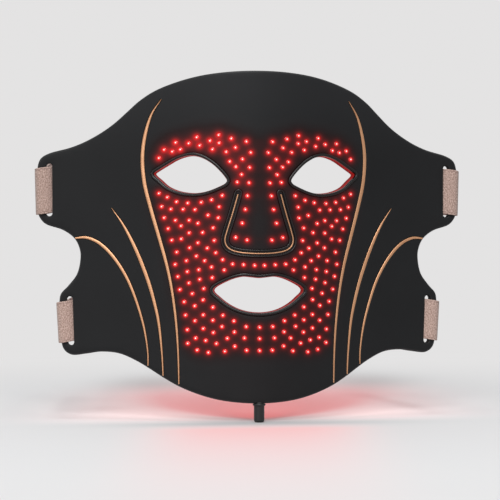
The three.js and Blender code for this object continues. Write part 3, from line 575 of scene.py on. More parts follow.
def add_layer(kind, mesh, materials):
    """A sheet layer in three pieces: the face and the two wings."""
    loops = read_array(mesh.loops, "vertex_index", len(mesh.loops), int)
    sizes = read_array(mesh.polygons, "loop_total", len(mesh.polygons), int)
    across = read_array(mesh.vertices, "co", len(mesh.vertices) * 3, float)[0::3][loops]
    starts = np.concatenate([[0], np.cumsum(sizes)[:-1]])
    left = np.minimum.reduceat(across, starts) < -BLEND_START * MM
    right = np.maximum.reduceat(across, starts) > BLEND_START * MM
    for name, wanted in (("left_wing", left), ("right_wing", right), ("face", ~(left | right))):
        part = part_of(mesh, f"{name}_{kind}_finish", wanted, loops, sizes)
        body = "face_panel" if name == "face" else name
        finished(part, materials, [f"{name}_{kind}"], body)


# Materials
def add_node(tree, kind, inputs=None, **settings):
    """A shader node. Inputs given as values or sockets are linked, and others are set."""
    made = tree.nodes.new(kind)
    for key, value in settings.items():
        setattr(made, key, value)
    for key, value in (inputs or {}).items():
        value = value.socket if isinstance(value, Value) else value
        if isinstance(value, bpy.types.NodeSocket):
            tree.links.new(value, made.inputs[key])
        else:
            made.inputs[key].default_value = value
    return made


class Value:
    """A number that shader nodes work out. Sums and products with it add nodes."""

    def __init__(self, socket):
        self.socket = socket

    def maths(self, operation, *others):
        inputs = dict(enumerate((self, *others)))
        made = add_node(self.socket.id_data, "ShaderNodeMath", inputs, operation=operation)
        return Value(made.outputs[0])

    def __add__(self, other):
        return self.maths("ADD", other)

    def __sub__(self, other):
        return self.maths("SUBTRACT", other)

    def __mul__(self, other):
        return self.maths("MULTIPLY", other)

    def __truediv__(self, other):
        return self.maths("DIVIDE", other)

    def __pow__(self, other):
        return self.maths("POWER", other)

    def __abs__(self):
        return self.maths("ABSOLUTE")

    def exp(self):
        return self.maths("EXPONENT")

    def most(self, other):
        return self.maths("MAXIMUM", other)

    def wave(self, length):
        return (self * (2 * math.pi / length)).maths("SINE")

    def hill(self, centre, reach, power=2.0):
        """1 at the centre, and about a third at the reach on both sides."""
        return ((abs(self - centre) / reach) ** power * -1.0).exp()

    def ranged(self, low, high, new_low, new_high, kind="LINEAR"):
        ends = {"From Min": low, "From Max": high, "To Min": new_low, "To Max": new_high}
        inputs = {"Value": self, **ends}
        made = add_node(self.socket.id_data, "ShaderNodeMapRange", inputs, interpolation_type=kind)
        return Value(made.outputs[0])

    def eased(self, low, high, new_low, new_high):
        return self.ranged(low, high, new_low, new_high, "SMOOTHSTEP")

    def varied(self, low, high):
        """A noise's values, which keep near the middle, spread between the two."""
        return self.ranged(0.3, 0.7, low, high)


def toned(base, share):
    return tuple(c * share for c in base)


class Paint:
    """A material being made: its node tree, its shader and the object coordinates in millimetres."""

    def __init__(self, name, **plain):
        self.material = bpy.data.materials.new(name)
        self.material.use_nodes = True
        self.material.cycles.emission_sampling = "NONE"
        self.tree = self.material.node_tree
        self.shader = self.tree.nodes["Principled BSDF"]
        for key, value in plain.items():
            self.shader.inputs[key.replace("_", " ")].default_value = value
        self.coords = self.node("ShaderNodeTexCoord").outputs["Object"]
        self.coords = self.vector("SCALE", Scale=1 / MM).outputs[0]

    def node(self, kind, inputs=None, **settings):
        return add_node(self.tree, kind, inputs, **settings)

    def vector(self, operation, **inputs):
        return self.node("ShaderNodeVectorMath", {0: self.coords, **inputs}, operation=operation)

    def stretched(self, coords, factors):
        return self.node("ShaderNodeVectorMath", {0: coords, 1: factors}, operation="MULTIPLY").outputs[0]

    def axes(self):
        return [Value(socket) for socket in self.node("ShaderNodeSeparateXYZ", {0: self.coords}).outputs]

    def number(self, name):
        return Value(self.node("ShaderNodeAttribute", attribute_name=name).outputs["Fac"])

    def noise(self, scale, detail=4.0, roughness=0.55, coords=None):
        inputs = {"Vector": coords or self.coords, "Scale": scale, "Detail": detail, "Roughness": roughness}
        return Value(self.node("ShaderNodeTexNoise", inputs).outputs["Fac"])

    def mixed(self, factor, first, second):
        ends = [(*end, 1) if isinstance(end, tuple) else end for end in (first, second)]
        return self.node("ShaderNodeMix", {0: factor, 6: ends[0], 7: ends[1]}, data_type="RGBA").outputs[2]

    def bumped(self, height, distance, strength):
        inputs = {"Height": height, "Distance": distance * MM, "Strength": strength}
        return self.node("ShaderNodeBump", inputs).outputs["Normal"]

    def finish(self, **sockets):
        for key, value in sockets.items():
            socket = value.socket if isinstance(value, Value) else value
            self.tree.links.new(socket, self.shader.inputs[key.replace("_", " ")])
        return self.material


# Depths of the fine relief of the finishes
SILICONE_RELIEF = 0.04
SATIN_RELIEF = 0.03
KNIT_RELIEF = 0.09
THREAD_RELIEF = 0.05
PILE_RELIEF = 0.3

# Silicone: a painted highlight up the forehead, darkness among the lights, and front edges rubbed smoother
# and painted paler as a highlight
LIGHT_RED = (1.0, 0.014, 0.015, 1)
WALL_RED = (1.0, 0.03, 0.026, 1)
FOREHEAD_HIGHLIGHT_LOW = 8
FOREHEAD_HIGHLIGHT_HIGH = 52
FOREHEAD_HIGHLIGHT_SHARE = 1.75
LIT_HAZE = (0.2, 1.6)
LIT_BASE_SHARE = 0.15
LIT_MIX_SHARE = 0.7
WORN_HIGHLIT_LEVEL = 3.9
WORN_HIGHLIT_REACH = (0.05, 0.28)
WORN_POLISH = 0.22


def silicone(name, base, edge, roughness, specular, strength, tint):
    """Matt silicone, rubbed smoother along its rounded front edges and painted paler there as a highlight,
    darker among the lights, and with a painted highlight up the forehead.
    Painted red glow lies on it in a close ring round each light, and as a broad haze."""
    paint = Paint(name, Specular_IOR_Level=specular, Emission_Color=LIGHT_RED)
    fine = paint.noise(2.6, detail=6.0)
    haze = paint.number("light_haze")
    colour = paint.mixed(paint.noise(0.035), toned(base, 0.82), toned(base, 1.22))
    # Painted highlight: the silicone's colour turns paler up the forehead
    forehead_highlight = paint.axes()[2].eased(FOREHEAD_HIGHLIGHT_LOW, FOREHEAD_HIGHLIGHT_HIGH, 0.0, 1.0)
    colour = paint.mixed(forehead_highlight, colour, toned(base, FOREHEAD_HIGHLIGHT_SHARE))
    colour = paint.mixed(haze.ranged(*LIT_HAZE, 0.0, LIT_MIX_SHARE), colour, toned(base, LIT_BASE_SHARE))
    # Worn and painted highlight: the rounded front edges are smoother, and painted paler in the edge colour
    # as a highlight
    worn = abs(paint.number("level") - WORN_HIGHLIT_LEVEL).ranged(*WORN_HIGHLIT_REACH, 1.0, 0.0)
    rough = fine.varied(roughness - 0.05, roughness + 0.06) - worn * WORN_POLISH
    # Painted red glow: a close ring round each light, and a broad haze
    close = ((paint.number("light_distance") - HALO_START) * (-1 / HALO_FADE)).exp()
    return paint.finish(
        Base_Color=paint.mixed(worn, colour, edge), Roughness=rough,
        Normal=paint.bumped(fine, SILICONE_RELIEF, 0.35), Emission_Strength=close * strength + haze * tint,
    )


def lit_wall():
    """The skin's walls in the openings, which the light inside the sheet makes glow."""
    paint = Paint("lit_silicone_wall", Roughness=0.5, Specular_IOR_Level=0.1, Emission_Color=WALL_RED)
    patchy = paint.noise(0.3)
    colour = paint.mixed(patchy, (0.016, 0.003, 0.003), (0.03, 0.005, 0.005))
    height = paint.number("level").ranged(0.0, REBATE_FLOOR, 0.1, 0.32)
    return paint.finish(Base_Color=colour, Emission_Strength=height * patchy.varied(0.8, 1.2))


def light_lens():
    """The lens of a light: a white core, then red, darker at the edge."""
    paint = Paint("light_lens", Base_Color=(0.3, 0.01, 0.01, 1), Roughness=0.25)
    radius = paint.number("radius_share")
    ramp = paint.node("ShaderNodeValToRGB", {0: radius})
    stops = (
        (0.0, (1.0, 0.95, 0.93)), (0.15, (1.0, 0.84, 0.8)), (0.26, (1.0, 0.26, 0.23)),
        (0.37, (0.95, 0.05, 0.045)), (0.65, (0.56, 0.014, 0.014)), (1.0, (0.3, 0.007, 0.008)),
    )
    elements = ramp.color_ramp.elements
    while len(elements) < len(stops):
        elements.new(0.5)
    for element, (at, colour) in zip(elements, stops):
        element.position = at
        element.color = (*colour, 1)
    flicker = paint.noise(0.12).varied(0.85, 1.1)
    core = radius.eased(0.05, 0.3, 1.9, 1.0)
    return paint.finish(Emission_Color=ramp.outputs[0], Emission_Strength=flicker * core)


def copper():
    """Satin copper, brushed along its lines, with darker tarnish in places."""
    paint = Paint("satin_copper", Metallic=0.8)
    brushed = paint.noise(3.0, detail=5.0, coords=paint.stretched(paint.coords, (1, 1, 0.12)))
    colour = paint.mixed(brushed, (0.48, 0.245, 0.13), (0.63, 0.345, 0.19))
    worn = paint.mixed(paint.noise(0.09).ranged(0.45, 0.7, 0.0, 0.35), colour, (0.43, 0.21, 0.11))
    normal = paint.bumped(brushed, SATIN_RELIEF, 0.4)
    return paint.finish(Base_Color=worn, Roughness=brushed.varied(0.34, 0.48), Normal=normal)


def steel():
    """Turned steel, with fine lines round it."""
    paint = Paint("turned_steel", Metallic=1.0)
    lines = paint.noise(1.5, coords=paint.stretched(paint.coords, (0.4, 0.4, 9)))
    colour = paint.mixed(lines, (0.5, 0.5, 0.49), (0.66, 0.66, 0.64))
    return paint.finish(Base_Color=colour, Roughness=lines.varied(0.24, 0.38))


def moulded_plastic(name, base, roughness):
    paint = Paint(name, Specular_IOR_Level=0.4)
    grain = paint.noise(4.0, detail=6.0)
    colour = paint.mixed(grain, toned(base, 0.8), toned(base, 1.3))
    rough = grain.varied(roughness - 0.06, roughness + 0.08)
    return paint.finish(Base_Color=colour, Roughness=rough, Normal=paint.bumped(grain, SATIN_RELIEF, 0.4))


def board_film():
    """Flexible circuit film with a grid of tracks, and a faint painted red glow."""
    paint = Paint("circuit_film", Roughness=0.45, Emission_Color=LIGHT_RED)
    inputs = {"Vector": paint.coords, "Scale": 0.25}
    grid = paint.node("ShaderNodeTexBrick", inputs, offset=0.0).outputs["Fac"]
    colour = paint.mixed(grid, (0.2, 0.012, 0.014), (0.42, 0.15, 0.06))
    return paint.finish(Base_Color=colour, Emission_Strength=paint.noise(0.2).varied(0.05, 0.12))


RIB_LENGTH = 0.62
LOOP_LENGTH = 0.5
SEAM_INSET = 1.0
SEAM_REACH = (0.1, 0.4)


def knit():
    """Heathered elastic knit: fine ribs across the band, specks of pale and dark yarn, stitched edges."""
    plain = {"Roughness": 0.92, "Specular_IOR_Level": 0.15, "Sheen_Weight": 0.25, "Sheen_Roughness": 0.5}
    paint = Paint("knit_elastic", **plain)
    along = paint.number("along")
    across = paint.number("across")
    weave = paint.node("ShaderNodeCombineXYZ", {"X": along, "Y": across}).outputs[0]
    specks = paint.noise(1.0, detail=3.0, roughness=0.7, coords=paint.stretched(weave, (1.9, 1.25, 1)))
    rib = along.wave(RIB_LENGTH)
    cell = rib * across.wave(LOOP_LENGTH)
    heather = paint.mixed(specks.ranged(0.36, 0.64, 0.0, 1.0), (0.24, 0.15, 0.12), (0.7, 0.52, 0.45))
    weft = paint.mixed(rib.ranged(-1.0, 1.0, 0.0, 0.2), heather, (0.22, 0.13, 0.105))
    seam = abs(paint.number("from_edge") - SEAM_INSET).ranged(*SEAM_REACH, 0.3, 0.0)
    colour = paint.mixed(seam, weft, (0.16, 0.095, 0.08))
    height = rib * 0.5 + cell * 0.35 + specks
    return paint.finish(Base_Color=colour, Normal=paint.bumped(height, KNIT_RELIEF, 0.8))


def thread():
    paint = Paint("stitch_thread", Roughness=0.75)
    inputs = {"Vector": paint.coords, "Scale": 6.0, "Distortion": 1.0}
    twist = paint.node("ShaderNodeTexWave", inputs).outputs["Fac"]
    colour = paint.mixed(twist, (0.2, 0.12, 0.1), (0.42, 0.28, 0.24))
    return paint.finish(Base_Color=colour, Normal=paint.bumped(twist, THREAD_RELIEF, 0.6))


def patch_fabric():
    """The pile of the hook and loop patches."""
    paint = Paint("patch_pile", Roughness=0.95, Sheen_Weight=0.4, Specular_IOR_Level=0.1)
    cells = paint.node("ShaderNodeTexVoronoi", {"Vector": paint.coords, "Scale": 1.3})
    tufts = Value(cells.outputs["Distance"])
    fuzz = paint.noise(5.0, detail=6.0)
    shade = (tufts * fuzz).ranged(0.05, 0.35, 0.0, 1.0)
    colour = paint.mixed(shade, (0.42, 0.29, 0.25), (0.2, 0.13, 0.11))
    return paint.finish(Base_Color=colour, Normal=paint.bumped(tufts + fuzz, PILE_RELIEF, 0.7))


SKIN_BASE = (0.0098, 0.0101, 0.0108)
# The paler colour of the skin's rounded front edges is a painted highlight
SKIN_EDGE_HIGHLIGHT = (0.03, 0.03, 0.031)
RIM_BASE = (0.0028, 0.0029, 0.0031)
LINER_BASE = (0.017, 0.0172, 0.0178)
skin_material = silicone("shell_silicone_finish", SKIN_BASE, SKIN_EDGE_HIGHLIGHT, 0.56, 0.14, 0.33, 0.0052)
rim_material = silicone("rim_silicone_finish", RIM_BASE, RIM_BASE, 0.3, 0.3, 0.12, 0.0015)
liner_material = silicone("liner_silicone_finish", LINER_BASE, LINER_BASE, 0.5, 0.2, 0.3, 0.006)
wall_material = lit_wall()
lens_material = light_lens()
copper_material = copper()
steel_material = steel()
socket_material = moulded_plastic("socket_plastic_finish", (0.01, 0.0102, 0.0108), 0.42)
chip_material = moulded_plastic("chip_plastic_finish", (0.02, 0.02, 0.021), 0.35)
film_material = board_film()
knit_material = knit()
thread_material = thread()
patch_material = patch_fabric()


# Points over the sheet layers
GRID_ROOM_SHARE = 0.45
GRID_LIGHT_SHARE = 0.6
LIGHT_ROOM = 0.35
LIGHT_SPREAD = 0.5
RING_SLACK = 0.01


def hex_grid(spacing, ring):
    """Points of an even triangular grid within a ring."""
    low, high = ring.min(0), ring.max(0)
    points = []
    for i, up in enumerate(np.arange(low[1], high[1], spacing * math.sqrt(3) / 2)):
        shift = spacing / 2 * (i % 2)
        points += [(across, up) for across in np.arange(low[0] + shift, high[0], spacing)]
    points = np.array(points)
    return points[inside(ring, points)]


def distances(points, targets):
    """How far each point is from the nearest target."""
    tree = kdtree.KDTree(len(targets))
    for index, (x, y) in enumerate(targets):
        tree.insert((x, y, 0), index)
    tree.balance()
    return np.array([tree.find((x, y, 0))[2] for x, y in points])


def clear_of(points, outer, holes, room):
    """The points that lie further than the room from every ring point and outside every hole."""
    points = points[distances(points, np.vstack([outer, *holes])) > room]
    return points[outside_all(holes, points)]


def light_samples():
    """Rings of points round each light, each nearest to its own light."""
    points = []
    for k, radius in enumerate(LIT_RING_RADII):
        rings = np.vstack([disc(centre, radius, turn=k / 2) for centre in light_places])
        points.append(rings[distances(rings, light_places) > radius - RING_SLACK])
    return np.vstack(points)


def spread(points, room):
    """Points in order, leaving out each that lies within the room of one taken before."""
    cells = {}
    taken = []
    for x, y in points:
        cell = (math.floor(x / room), math.floor(y / room))
        near = (cells.get((cell[0] + i, cell[1] + j), ()) for i in (-1, 0, 1) for j in (-1, 0, 1))
        if all(math.dist((x, y), other) >= room for group in near for other in group):
            cells.setdefault(cell, []).append((x, y))
            taken.append((x, y))
    return np.array(taken)


def sheet_samples(outer, holes, spacing, lit=False):
    grid = clear_of(hex_grid(spacing, outer), outer, holes, spacing * GRID_ROOM_SHARE)
    if not lit:
        return grid
    close = spread(clear_of(light_samples(), outer, holes, LIGHT_ROOM), LIGHT_SPREAD)
    far = distances(grid, np.vstack([close, light_places])) > spacing * GRID_LIGHT_SHARE
    return np.vstack([close, grid[far]])


# The sheet's layers. Steps of sections are (distance from the opening's or the spine's line, level)
REBATE_STEPS = (
    (RIM_REACH + 0.35, SHEET_FRONT), (RIM_REACH + 0.16, 4.12), (RIM_REACH + RIM_ROOM, 3.9),
    (RIM_REACH + RIM_ROOM, REBATE_FLOOR), (WALL_LEAN, REBATE_FLOOR),
)
WALL_STEPS = ((WALL_LEAN, REBATE_FLOOR), (WALL_LEAN / 2, POCKET_FRONT), (0, 1.5), (0.2, SKIN_BACK))
NOSE_STEPS = (
    (NOSE_HALF_WIDTH + NOSE_ROOM + 0.12, SHEET_FRONT), (NOSE_HALF_WIDTH + NOSE_ROOM, 4.1),
    (NOSE_HALF_WIDTH + NOSE_ROOM, REBATE_FLOOR), (0, REBATE_FLOOR),
)
GROOVE_STEPS = (
    (GROOVE_ROOM + 0.12, SHEET_FRONT), (GROOVE_ROOM, SHEET_FRONT - 0.1), (GROOVE_ROOM, GROOVE_FLOOR),
)
GROOVE_END_ROOM = 0.35


def groove_rings(kind, side):
    """The rings of an inlay's groove: its rounded edge, its wall and its floor. It ends inside the edge."""
    path, half_widths = inlay_line(kind, side)
    kept = inside(grown(outline_ring, -SKIN_EDGE[0][0] - GROOVE_END_ROOM), path)
    path, half_widths = path[kept], half_widths[kept]
    rings = [(ribbon(path, half_widths + room), level) for room, level in GROOVE_STEPS]
    return [*rings, (ribbon(path, half_widths * 0), GROOVE_FLOOR)]


def make_skin():
    skin = Flat()
    edge = edge_rings(outline_ring, SKIN_EDGE)
    skin.stack(edge)
    front_holes = []
    islands = []
    openings = []
    for ring in opening_rings.values():
        rebate = edge_rings(ring, REBATE_STEPS, 1)
        wall = edge_rings(ring, WALL_STEPS, 1)
        skin.stack(rebate)
        skin.stack(wall, kind=1)
        front_holes.append(rebate[0][0])
        openings.append(wall[-1][0])
        island = grown(ring, BOARD_HOLE_ROOM)
        skin.stack([(island, SKIN_BACK), (island, POCKET_FRONT)])
        islands.append(island)
    nose = stadium_rings(nose_spine, NOSE_STEPS)
    slots = slot_rings(SLOT_EDGE, -1)
    grooves = [groove_rings(kind, side) for kind in INLAY_SHARES for _, side in SIDES]
    windows = [
        [(disc(centre, WINDOW_RADIUS - inset), level) for inset, level in WINDOW_EDGE]
        for centre in light_places
    ]
    for rings in (nose, *slots, *grooves, *windows):
        skin.stack(rings)
        front_holes.append(rings[0][0])
    front, back = edge[0][0], edge[-1][0]
    skin.fill(front, front_holes, sheet_samples(front, front_holes, SAMPLE_SPACING, True), SHEET_FRONT)
    pocket = resampled(np.vstack([board_ring, board_ring[:1]]), SAMPLE_SPACING)[:-1]
    pocket = grown(pocket, BOARD_ROOM)
    skin.stack([(pocket, SKIN_BACK), (pocket, POCKET_FRONT)])
    back_holes = [pocket, *(rings[-1][0] for rings in slots)]
    skin.fill(back, back_holes, sheet_samples(back, back_holes, BACK_SPACING), SKIN_BACK)
    for island, opening in zip(islands, openings):
        skin.fill(island, [opening], np.empty((0, 2)), SKIN_BACK)
    pocket_holes = [*islands, *(rings[-1][0] for rings in windows)]
    skin.fill(pocket, pocket_holes, sheet_samples(pocket, pocket_holes, BACK_SPACING), POCKET_FRONT)
    add_layer("shell", flat_mesh("skin", skin), [skin_material, wall_material])


def make_liner():
    liner = Flat()
    edge = edge_rings(outline_ring, LINER_EDGE)
    liner.stack(edge)
    openings = [edge_rings(ring, LINER_EDGE, 1) for ring in opening_rings.values()]
    slots = slot_rings(LINER_EDGE, 1)
    for kind, group in ((1, openings), (0, slots)):
        for rings in group:
            liner.stack(rings, kind)
    front, back = edge[0][0], edge[-1][0]
    front_holes = [rings[0][0] for rings in (*openings, *slots)]
    back_holes = [rings[-1][0] for rings in (*openings, *slots)]
    liner.fill(front, front_holes, sheet_samples(front, front_holes, BACK_SPACING), LINER_FRONT)
    liner.fill(back, back_holes, sheet_samples(back, back_holes, SAMPLE_SPACING, True), 0)
    add_layer("liner", flat_mesh("liner", liner), [liner_material, wall_material])


# Raised rims and the nose: sections in (distance from the opening's or the spine's line, level)
RIM_SEAT = 3.36
RIM_SECTION = (
    (WALL_LEAN, RIM_SEAT), (WALL_LEAN, 4.25), (0.4, 4.55), (0.58, 4.83), (0.86, 5.03), (1.2, 5.1),
    (1.54, 5.03), (1.82, 4.83), (1.99, 4.55), (RIM_REACH, 4.25), (RIM_REACH, RIM_SEAT),
)
CHANNEL_FLOOR = 4.1
NOSE_SECTION = (
    (0, RIM_SEAT), (NOSE_HALF_WIDTH, RIM_SEAT), (NOSE_HALF_WIDTH, 4.4), (2.05, 4.64), (1.92, 4.84),
    (1.74, 4.96), (1.54, 5.0), (1.34, 4.95), (1.16, 4.8), (1.06, 4.58), (1.0, CHANNEL_FLOOR),
    (0, CHANNEL_FLOOR),
)
NOSE_COPPER_SECTION = ((0, 4.8), (0.14, 4.78), (0.26, 4.7), (0.32, 4.56), (0.32, 4.12), (0, 4.12))


def make_rims():
    for name, ring in opening_rings.items():
        rim = Flat()
        rim.stack(edge_rings(ring, RIM_SECTION, 1), closed=True)
        mesh = flat_mesh(f"{name}_rim_finish", rim)
        finished(mesh, [rim_material], [f"{name}_rim"], "face_panel")


def make_nose():
    """The nose's rim and its copper line, along the nose's spine with round ends."""
    for node, spine, section, material, slot in (
        ("nose_rim", nose_spine, NOSE_SECTION, rim_material, "rim_silicone"),
        ("nose_inlay", nose_spine[1:-1], NOSE_COPPER_SECTION, copper_material, "copper"),
    ):
        drawn = Flat()
        drawn.stack(stadium_rings(spine, section))
        finished(flat_mesh(f"{node}_finish", drawn), [material], [node], "face_panel")


# Copper inlays: a low crown, in shares of the half width and levels, that follows the sheet's edge down
INLAY_CROWN = ((0, 4.36), (0.45, 4.345), (0.8, 4.28), (1, 4.16), (1, 3.5), (0, 3.5))
INLAY_PIECES = (
    ("long", ("long_inlay",), "face_panel"), ("middle", ("middle_inlay",), "wing"),
    ("short", ("short_inlay", "wing_inlay"), "wing"),
)


def edge_drop(points):
    """How far the sheet's rounded edge lies below its front at each plan point."""
    insets, levels = np.array(SKIN_EDGE[4::-1]).T
    return np.interp(distances(points, outline_ring), insets, SHEET_FRONT - levels)


def make_inlays():
    for name, side in SIDES:
        for kind, nodes, body in INLAY_PIECES:
            path, half_widths = inlay_line(kind, side)
            drop = edge_drop(path)
            both = np.concatenate([drop, drop[::-1]])
            drawn = Flat()
            drawn.stack([(ribbon(path, half_widths * share), level - both) for share, level in INLAY_CROWN])
            mesh = flat_mesh(f"{name}_{kind}_inlay_finish", drawn, 40)
            body = f"{name}_wing" if body == "wing" else body
            finished(mesh, [copper_material], [f"{name}_{node}" for node in nodes], body)


# Lights: a clear dome in each window, over its package on the board
LENS_SECTION = ((1.36, 3.3), (1.36, 3.72), (1.26, 3.93), (1.0, 4.09), (0.62, 4.18), (0.3, 4.21), (0, 4.22))


def make_lights():
    lenses = Flat()
    for centre in light_places:
        rings = [(disc(centre, radius), level) for radius, level in LENS_SECTION]
        lenses.stack([(disc(centre, 0), LENS_SECTION[0][1]), *rings])
    mesh = flat_mesh("light_lenses", lenses)
    away = distances(lenses.welded()[0][:, :2], light_places)
    add_numbers(mesh, {"radius_share": away / LENS_SECTION[0][0]})
    finished(mesh, [lens_material], [], "face_panel")


# Chin socket: a turned barrel, a mouth with a chamfer, and a small flare against the sheet's edge
SOCKET_SIDES = 48
CHIN_EDGE = OUTLINE_SHARES[-1][1] * FACE_HEIGHT
SOCKET_DROP = 10
SOCKET_PROFILE = (
    (1.62, 10.2), (1.62, 0.5), (1.75, 0.12), (1.95, 0), (2.12, 0.04), (2.26, 0.14), (2.72, 0.86),
    (2.79, 1.0), (2.8, 1.2), (2.8, 8.4), (2.84, 8.66), (2.96, 8.84), (3.2, 8.94), (3.36, 9.02),
    (3.42, 9.16), (3.42, 9.6), (3.34, 9.78), (3.1, 9.86), (2.05, 9.9), (2.0, 10.2), (2.0, 11.5),
    (1.62, 11.6),
)


def make_socket():
    centre = Vector((0, -SHEET_FRONT / 2, CHIN_EDGE - SOCKET_DROP))
    socket = Drawing()
    rows = []
    for radius, height in SOCKET_PROFILE:
        ring = disc(np.zeros(2), radius, SOCKET_SIDES)
        rows.append(socket.add((centre + Vector((x, y, height))) * MM for x, y in ring))
    socket.loft(rows, closed=True)
    mesh = socket.mesh("socket_body_finish", 40)
    finished(mesh, [socket_material], ["socket_body"], "face_panel")


# Straps: a knitted band round the outer bar of each slot, folded back and stitched, with its tail
STRAP_SIZES = {
    "upper": {"width": 25, "rise_share": 0.1, "bore": 2.72},
    "lower": {"width": 22, "rise_share": 0.0, "bore": 2.66},
}
BAND_THICKNESS = 1.2
BAND_EDGE_STEPS = (
    (0, 0), (0.06, 0.55), (0.25, 0.85), (0.5, 1.02), (0.75, 0.98), (1.0, 0.84), (1.3, 1.0), (3, 1.02),
)
BAND_MIDDLE_SHARES = (0.6, 0.4, 0.2, 0)
BAND_NECK = 9.0
INNER_STRETCH = 1.6
OUTER_STRETCH = 0.93
FOLD_GAP_SHARE = 1.02
FOLD_NECK_SHARE = 0.9
FALL_SHARE = 0.13
LEAN_SHARE = 0.027
FOLD_END = 24.0
TAIL_LENGTH = 150
TAIL_LEAN_DEG = 6
CLIMB_START = 8
BAND_SPACING = 0.55
ARC_STEPS = 40
TAIL_STEPS = 30
RIB_HEIGHT = 0.045
RIB_PITCH = 2.2
STITCH_ROWS = (12.5, 20.5)
STITCH_MARGIN = 2.2
STITCH_LENGTH = 1.9
STITCH_GAP = 0.8
STITCH_RADIUS = 0.2
STITCH_SIDES = 6
# Along a stitch: shares of its length and of its thickness
STITCH_SHARES = ((0.0, 0.35), (0.2, 0.9), (0.5, 1.0), (0.8, 0.9), (1.0, 0.35))
STITCH_OUT_SHARES = (1.55, -0.53)
PATCH_LENGTH = 38
PATCH_MARGIN = 1.5
PATCH_THICKNESS = 1.0
PATCH_COLUMNS = 26
PATCH_ROWS = 44
HOOK_PATCH_LIFT = 0.28
LOOP_PATCH_LIFT = 0.3
PATCH_FOOT_GAP = 0.02
PATCH_EDGE_SHARES = (0, 0.55, 0.85)
PATCH_BASE_SHARE = 0.35
PILE_HEIGHT = 0.45
HOOK_PITCH = 1.45
HOOK_RADIUS = 0.16
HOOK_SIDES = 4
HOOK_FOOT_SHARE = 0.3
HOOK_END_SHARE = 0.7
# Up a hook: its rise, its lean, and the share of its thickness
HOOK_PROFILE = ((0, 0, 1.2), (0.35, 0.02, 0.95), (0.6, 0.16, 0.85), (0.66, 0.42, 0.6))
FIRST_SEED = 11


def band_frame(name, side, level):
    """From a band's own axes, in millimetres, to the row frame: the tail runs along +Y from the bar."""
    at = Vector(joint_places[f"{name}_{level}_strap_swing"])
    top, bottom = place(SLOT_SHARES[level])
    lean = Matrix.Rotation(side * math.atan2(top[0] - bottom[0], top[1] - bottom[1]), 4, "Y")
    turn = Matrix.Rotation(side * math.radians(TAIL_LEAN_DEG), 4, "Z")
    return Matrix.Translation(at) @ lean @ turn @ Matrix.Scale(MM, 4)


def band_path(bore, fold_side):
    """The middle line of the band: down the folded end, round the bar, and back along the tail."""
    radius = bore + BAND_THICKNESS / 2
    leave = math.acos(radius / BAND_NECK)
    turns = np.linspace(math.pi / 2 + leave, math.pi / 2 - leave + 2 * math.pi, ARC_STEPS)
    arc = [(radius * math.cos(a) * fold_side * -1, radius * math.sin(a)) for a in turns]
    arc = [(x * (INNER_STRETCH if x * fold_side > 0 else OUTER_STRETCH), y) for x, y in arc]
    gap = fold_side * BAND_THICKNESS * FOLD_GAP_SHARE
    folded = [(gap, FOLD_END), (gap, FOLD_END / 2), (gap * FOLD_NECK_SHARE, BAND_NECK)]
    tail = [(0, BAND_NECK), (0, FOLD_END / 2), (0, FOLD_END)]
    far = [(0, up) for up in np.linspace(FOLD_END, TAIL_LENGTH, TAIL_STEPS)[1:]]
    fold_first = arc if arc[0][0] * fold_side > 0 else arc[::-1]
    return smooth(np.array([*folded, *fold_first, *tail, *far], float), False, BAND_SPACING)


def band_section(width):
    """Half thickness at each place across the band: round edges and a shallow seam near each."""
    half = width / 2
    outward = [(half - inset, share) for inset, share in BAND_EDGE_STEPS]
    outward += [(half * share, 1) for share in BAND_MIDDLE_SHARES]
    quarter = [(across, share * BAND_THICKNESS / 2) for across, share in outward]
    front = quarter + [(-across, out) for across, out in quarter[-2::-1]]
    return front + [(across, -out) for across, out in front[-2:0:-1]]


class Band(Drawing):
    """A strap or a patch on it, drawn in the band's own axes."""

    def __init__(self, size, fold_side, to_frame):
        super().__init__()
        self.size = size
        self.fold_side = fold_side
        self.to_frame = to_frame

    def hung(self, out, up, where):
        """A point with the tail's climb, its edges' fall away from the slot, and its slight lean."""
        climb = self.size["rise_share"] * max(0.0, up - CLIMB_START)
        fall = FALL_SHARE * (self.size["bore"] * INNER_STRETCH - out * self.fold_side)
        return self.to_frame @ Vector((out - self.fold_side * LEAN_SHARE * where, up, where + climb - fall))


def band_mesh(name, size, fold_side, to_frame):
    band = Band(size, fold_side, to_frame)
    path = band_path(size["bore"], fold_side)
    section = band_section(size["width"])
    half = size["width"] / 2
    rings = []
    for index, ((x, y), (nx, ny)) in enumerate(zip(path, path_normals(path, False))):
        rib = RIB_HEIGHT * math.sin(index * BAND_SPACING * 2 * math.pi / RIB_PITCH)
        reaches = [(where, out + math.copysign(rib, out) if out else 0) for where, out in section]
        rings.append([band.hung(x + nx * reach, y + ny * reach, where) for where, reach in reaches])
    band.rod(rings)
    wheres = [where for where, _ in section] * len(path)
    extra = [0] * add_stitches(band, half - STITCH_MARGIN)
    mesh = band.mesh(name, 50)
    add_numbers(mesh, {
        "along": [index * BAND_SPACING for index in range(len(path)) for _ in section] + extra,
        "across": [where + half for where in wheres] + extra,
        "from_edge": [half - abs(where) for where in wheres] + extra,
    })
    return mesh


def add_stitches(band, half):
    """Rows of thread stitches across both faces of the folded end, and how many points they have."""
    before = len(band.points)
    starts = np.arange(-half, half - STITCH_LENGTH, STITCH_LENGTH + STITCH_GAP)
    for row in STITCH_ROWS:
        for surface in (band.fold_side * BAND_THICKNESS * share for share in STITCH_OUT_SHARES):
            for start in starts:
                rings = []
                for share, thick in STITCH_SHARES:
                    out = surface - math.copysign(STITCH_RADIUS * (2 * abs(share - 0.5)) ** 2, surface)
                    ring = disc(np.array([out, row]), STITCH_RADIUS * thick, STITCH_SIDES)
                    rings.append([band.hung(x, y, start + share * STITCH_LENGTH) for x, y in ring])
                band.rod(rings, 1)
    return len(band.points) - before


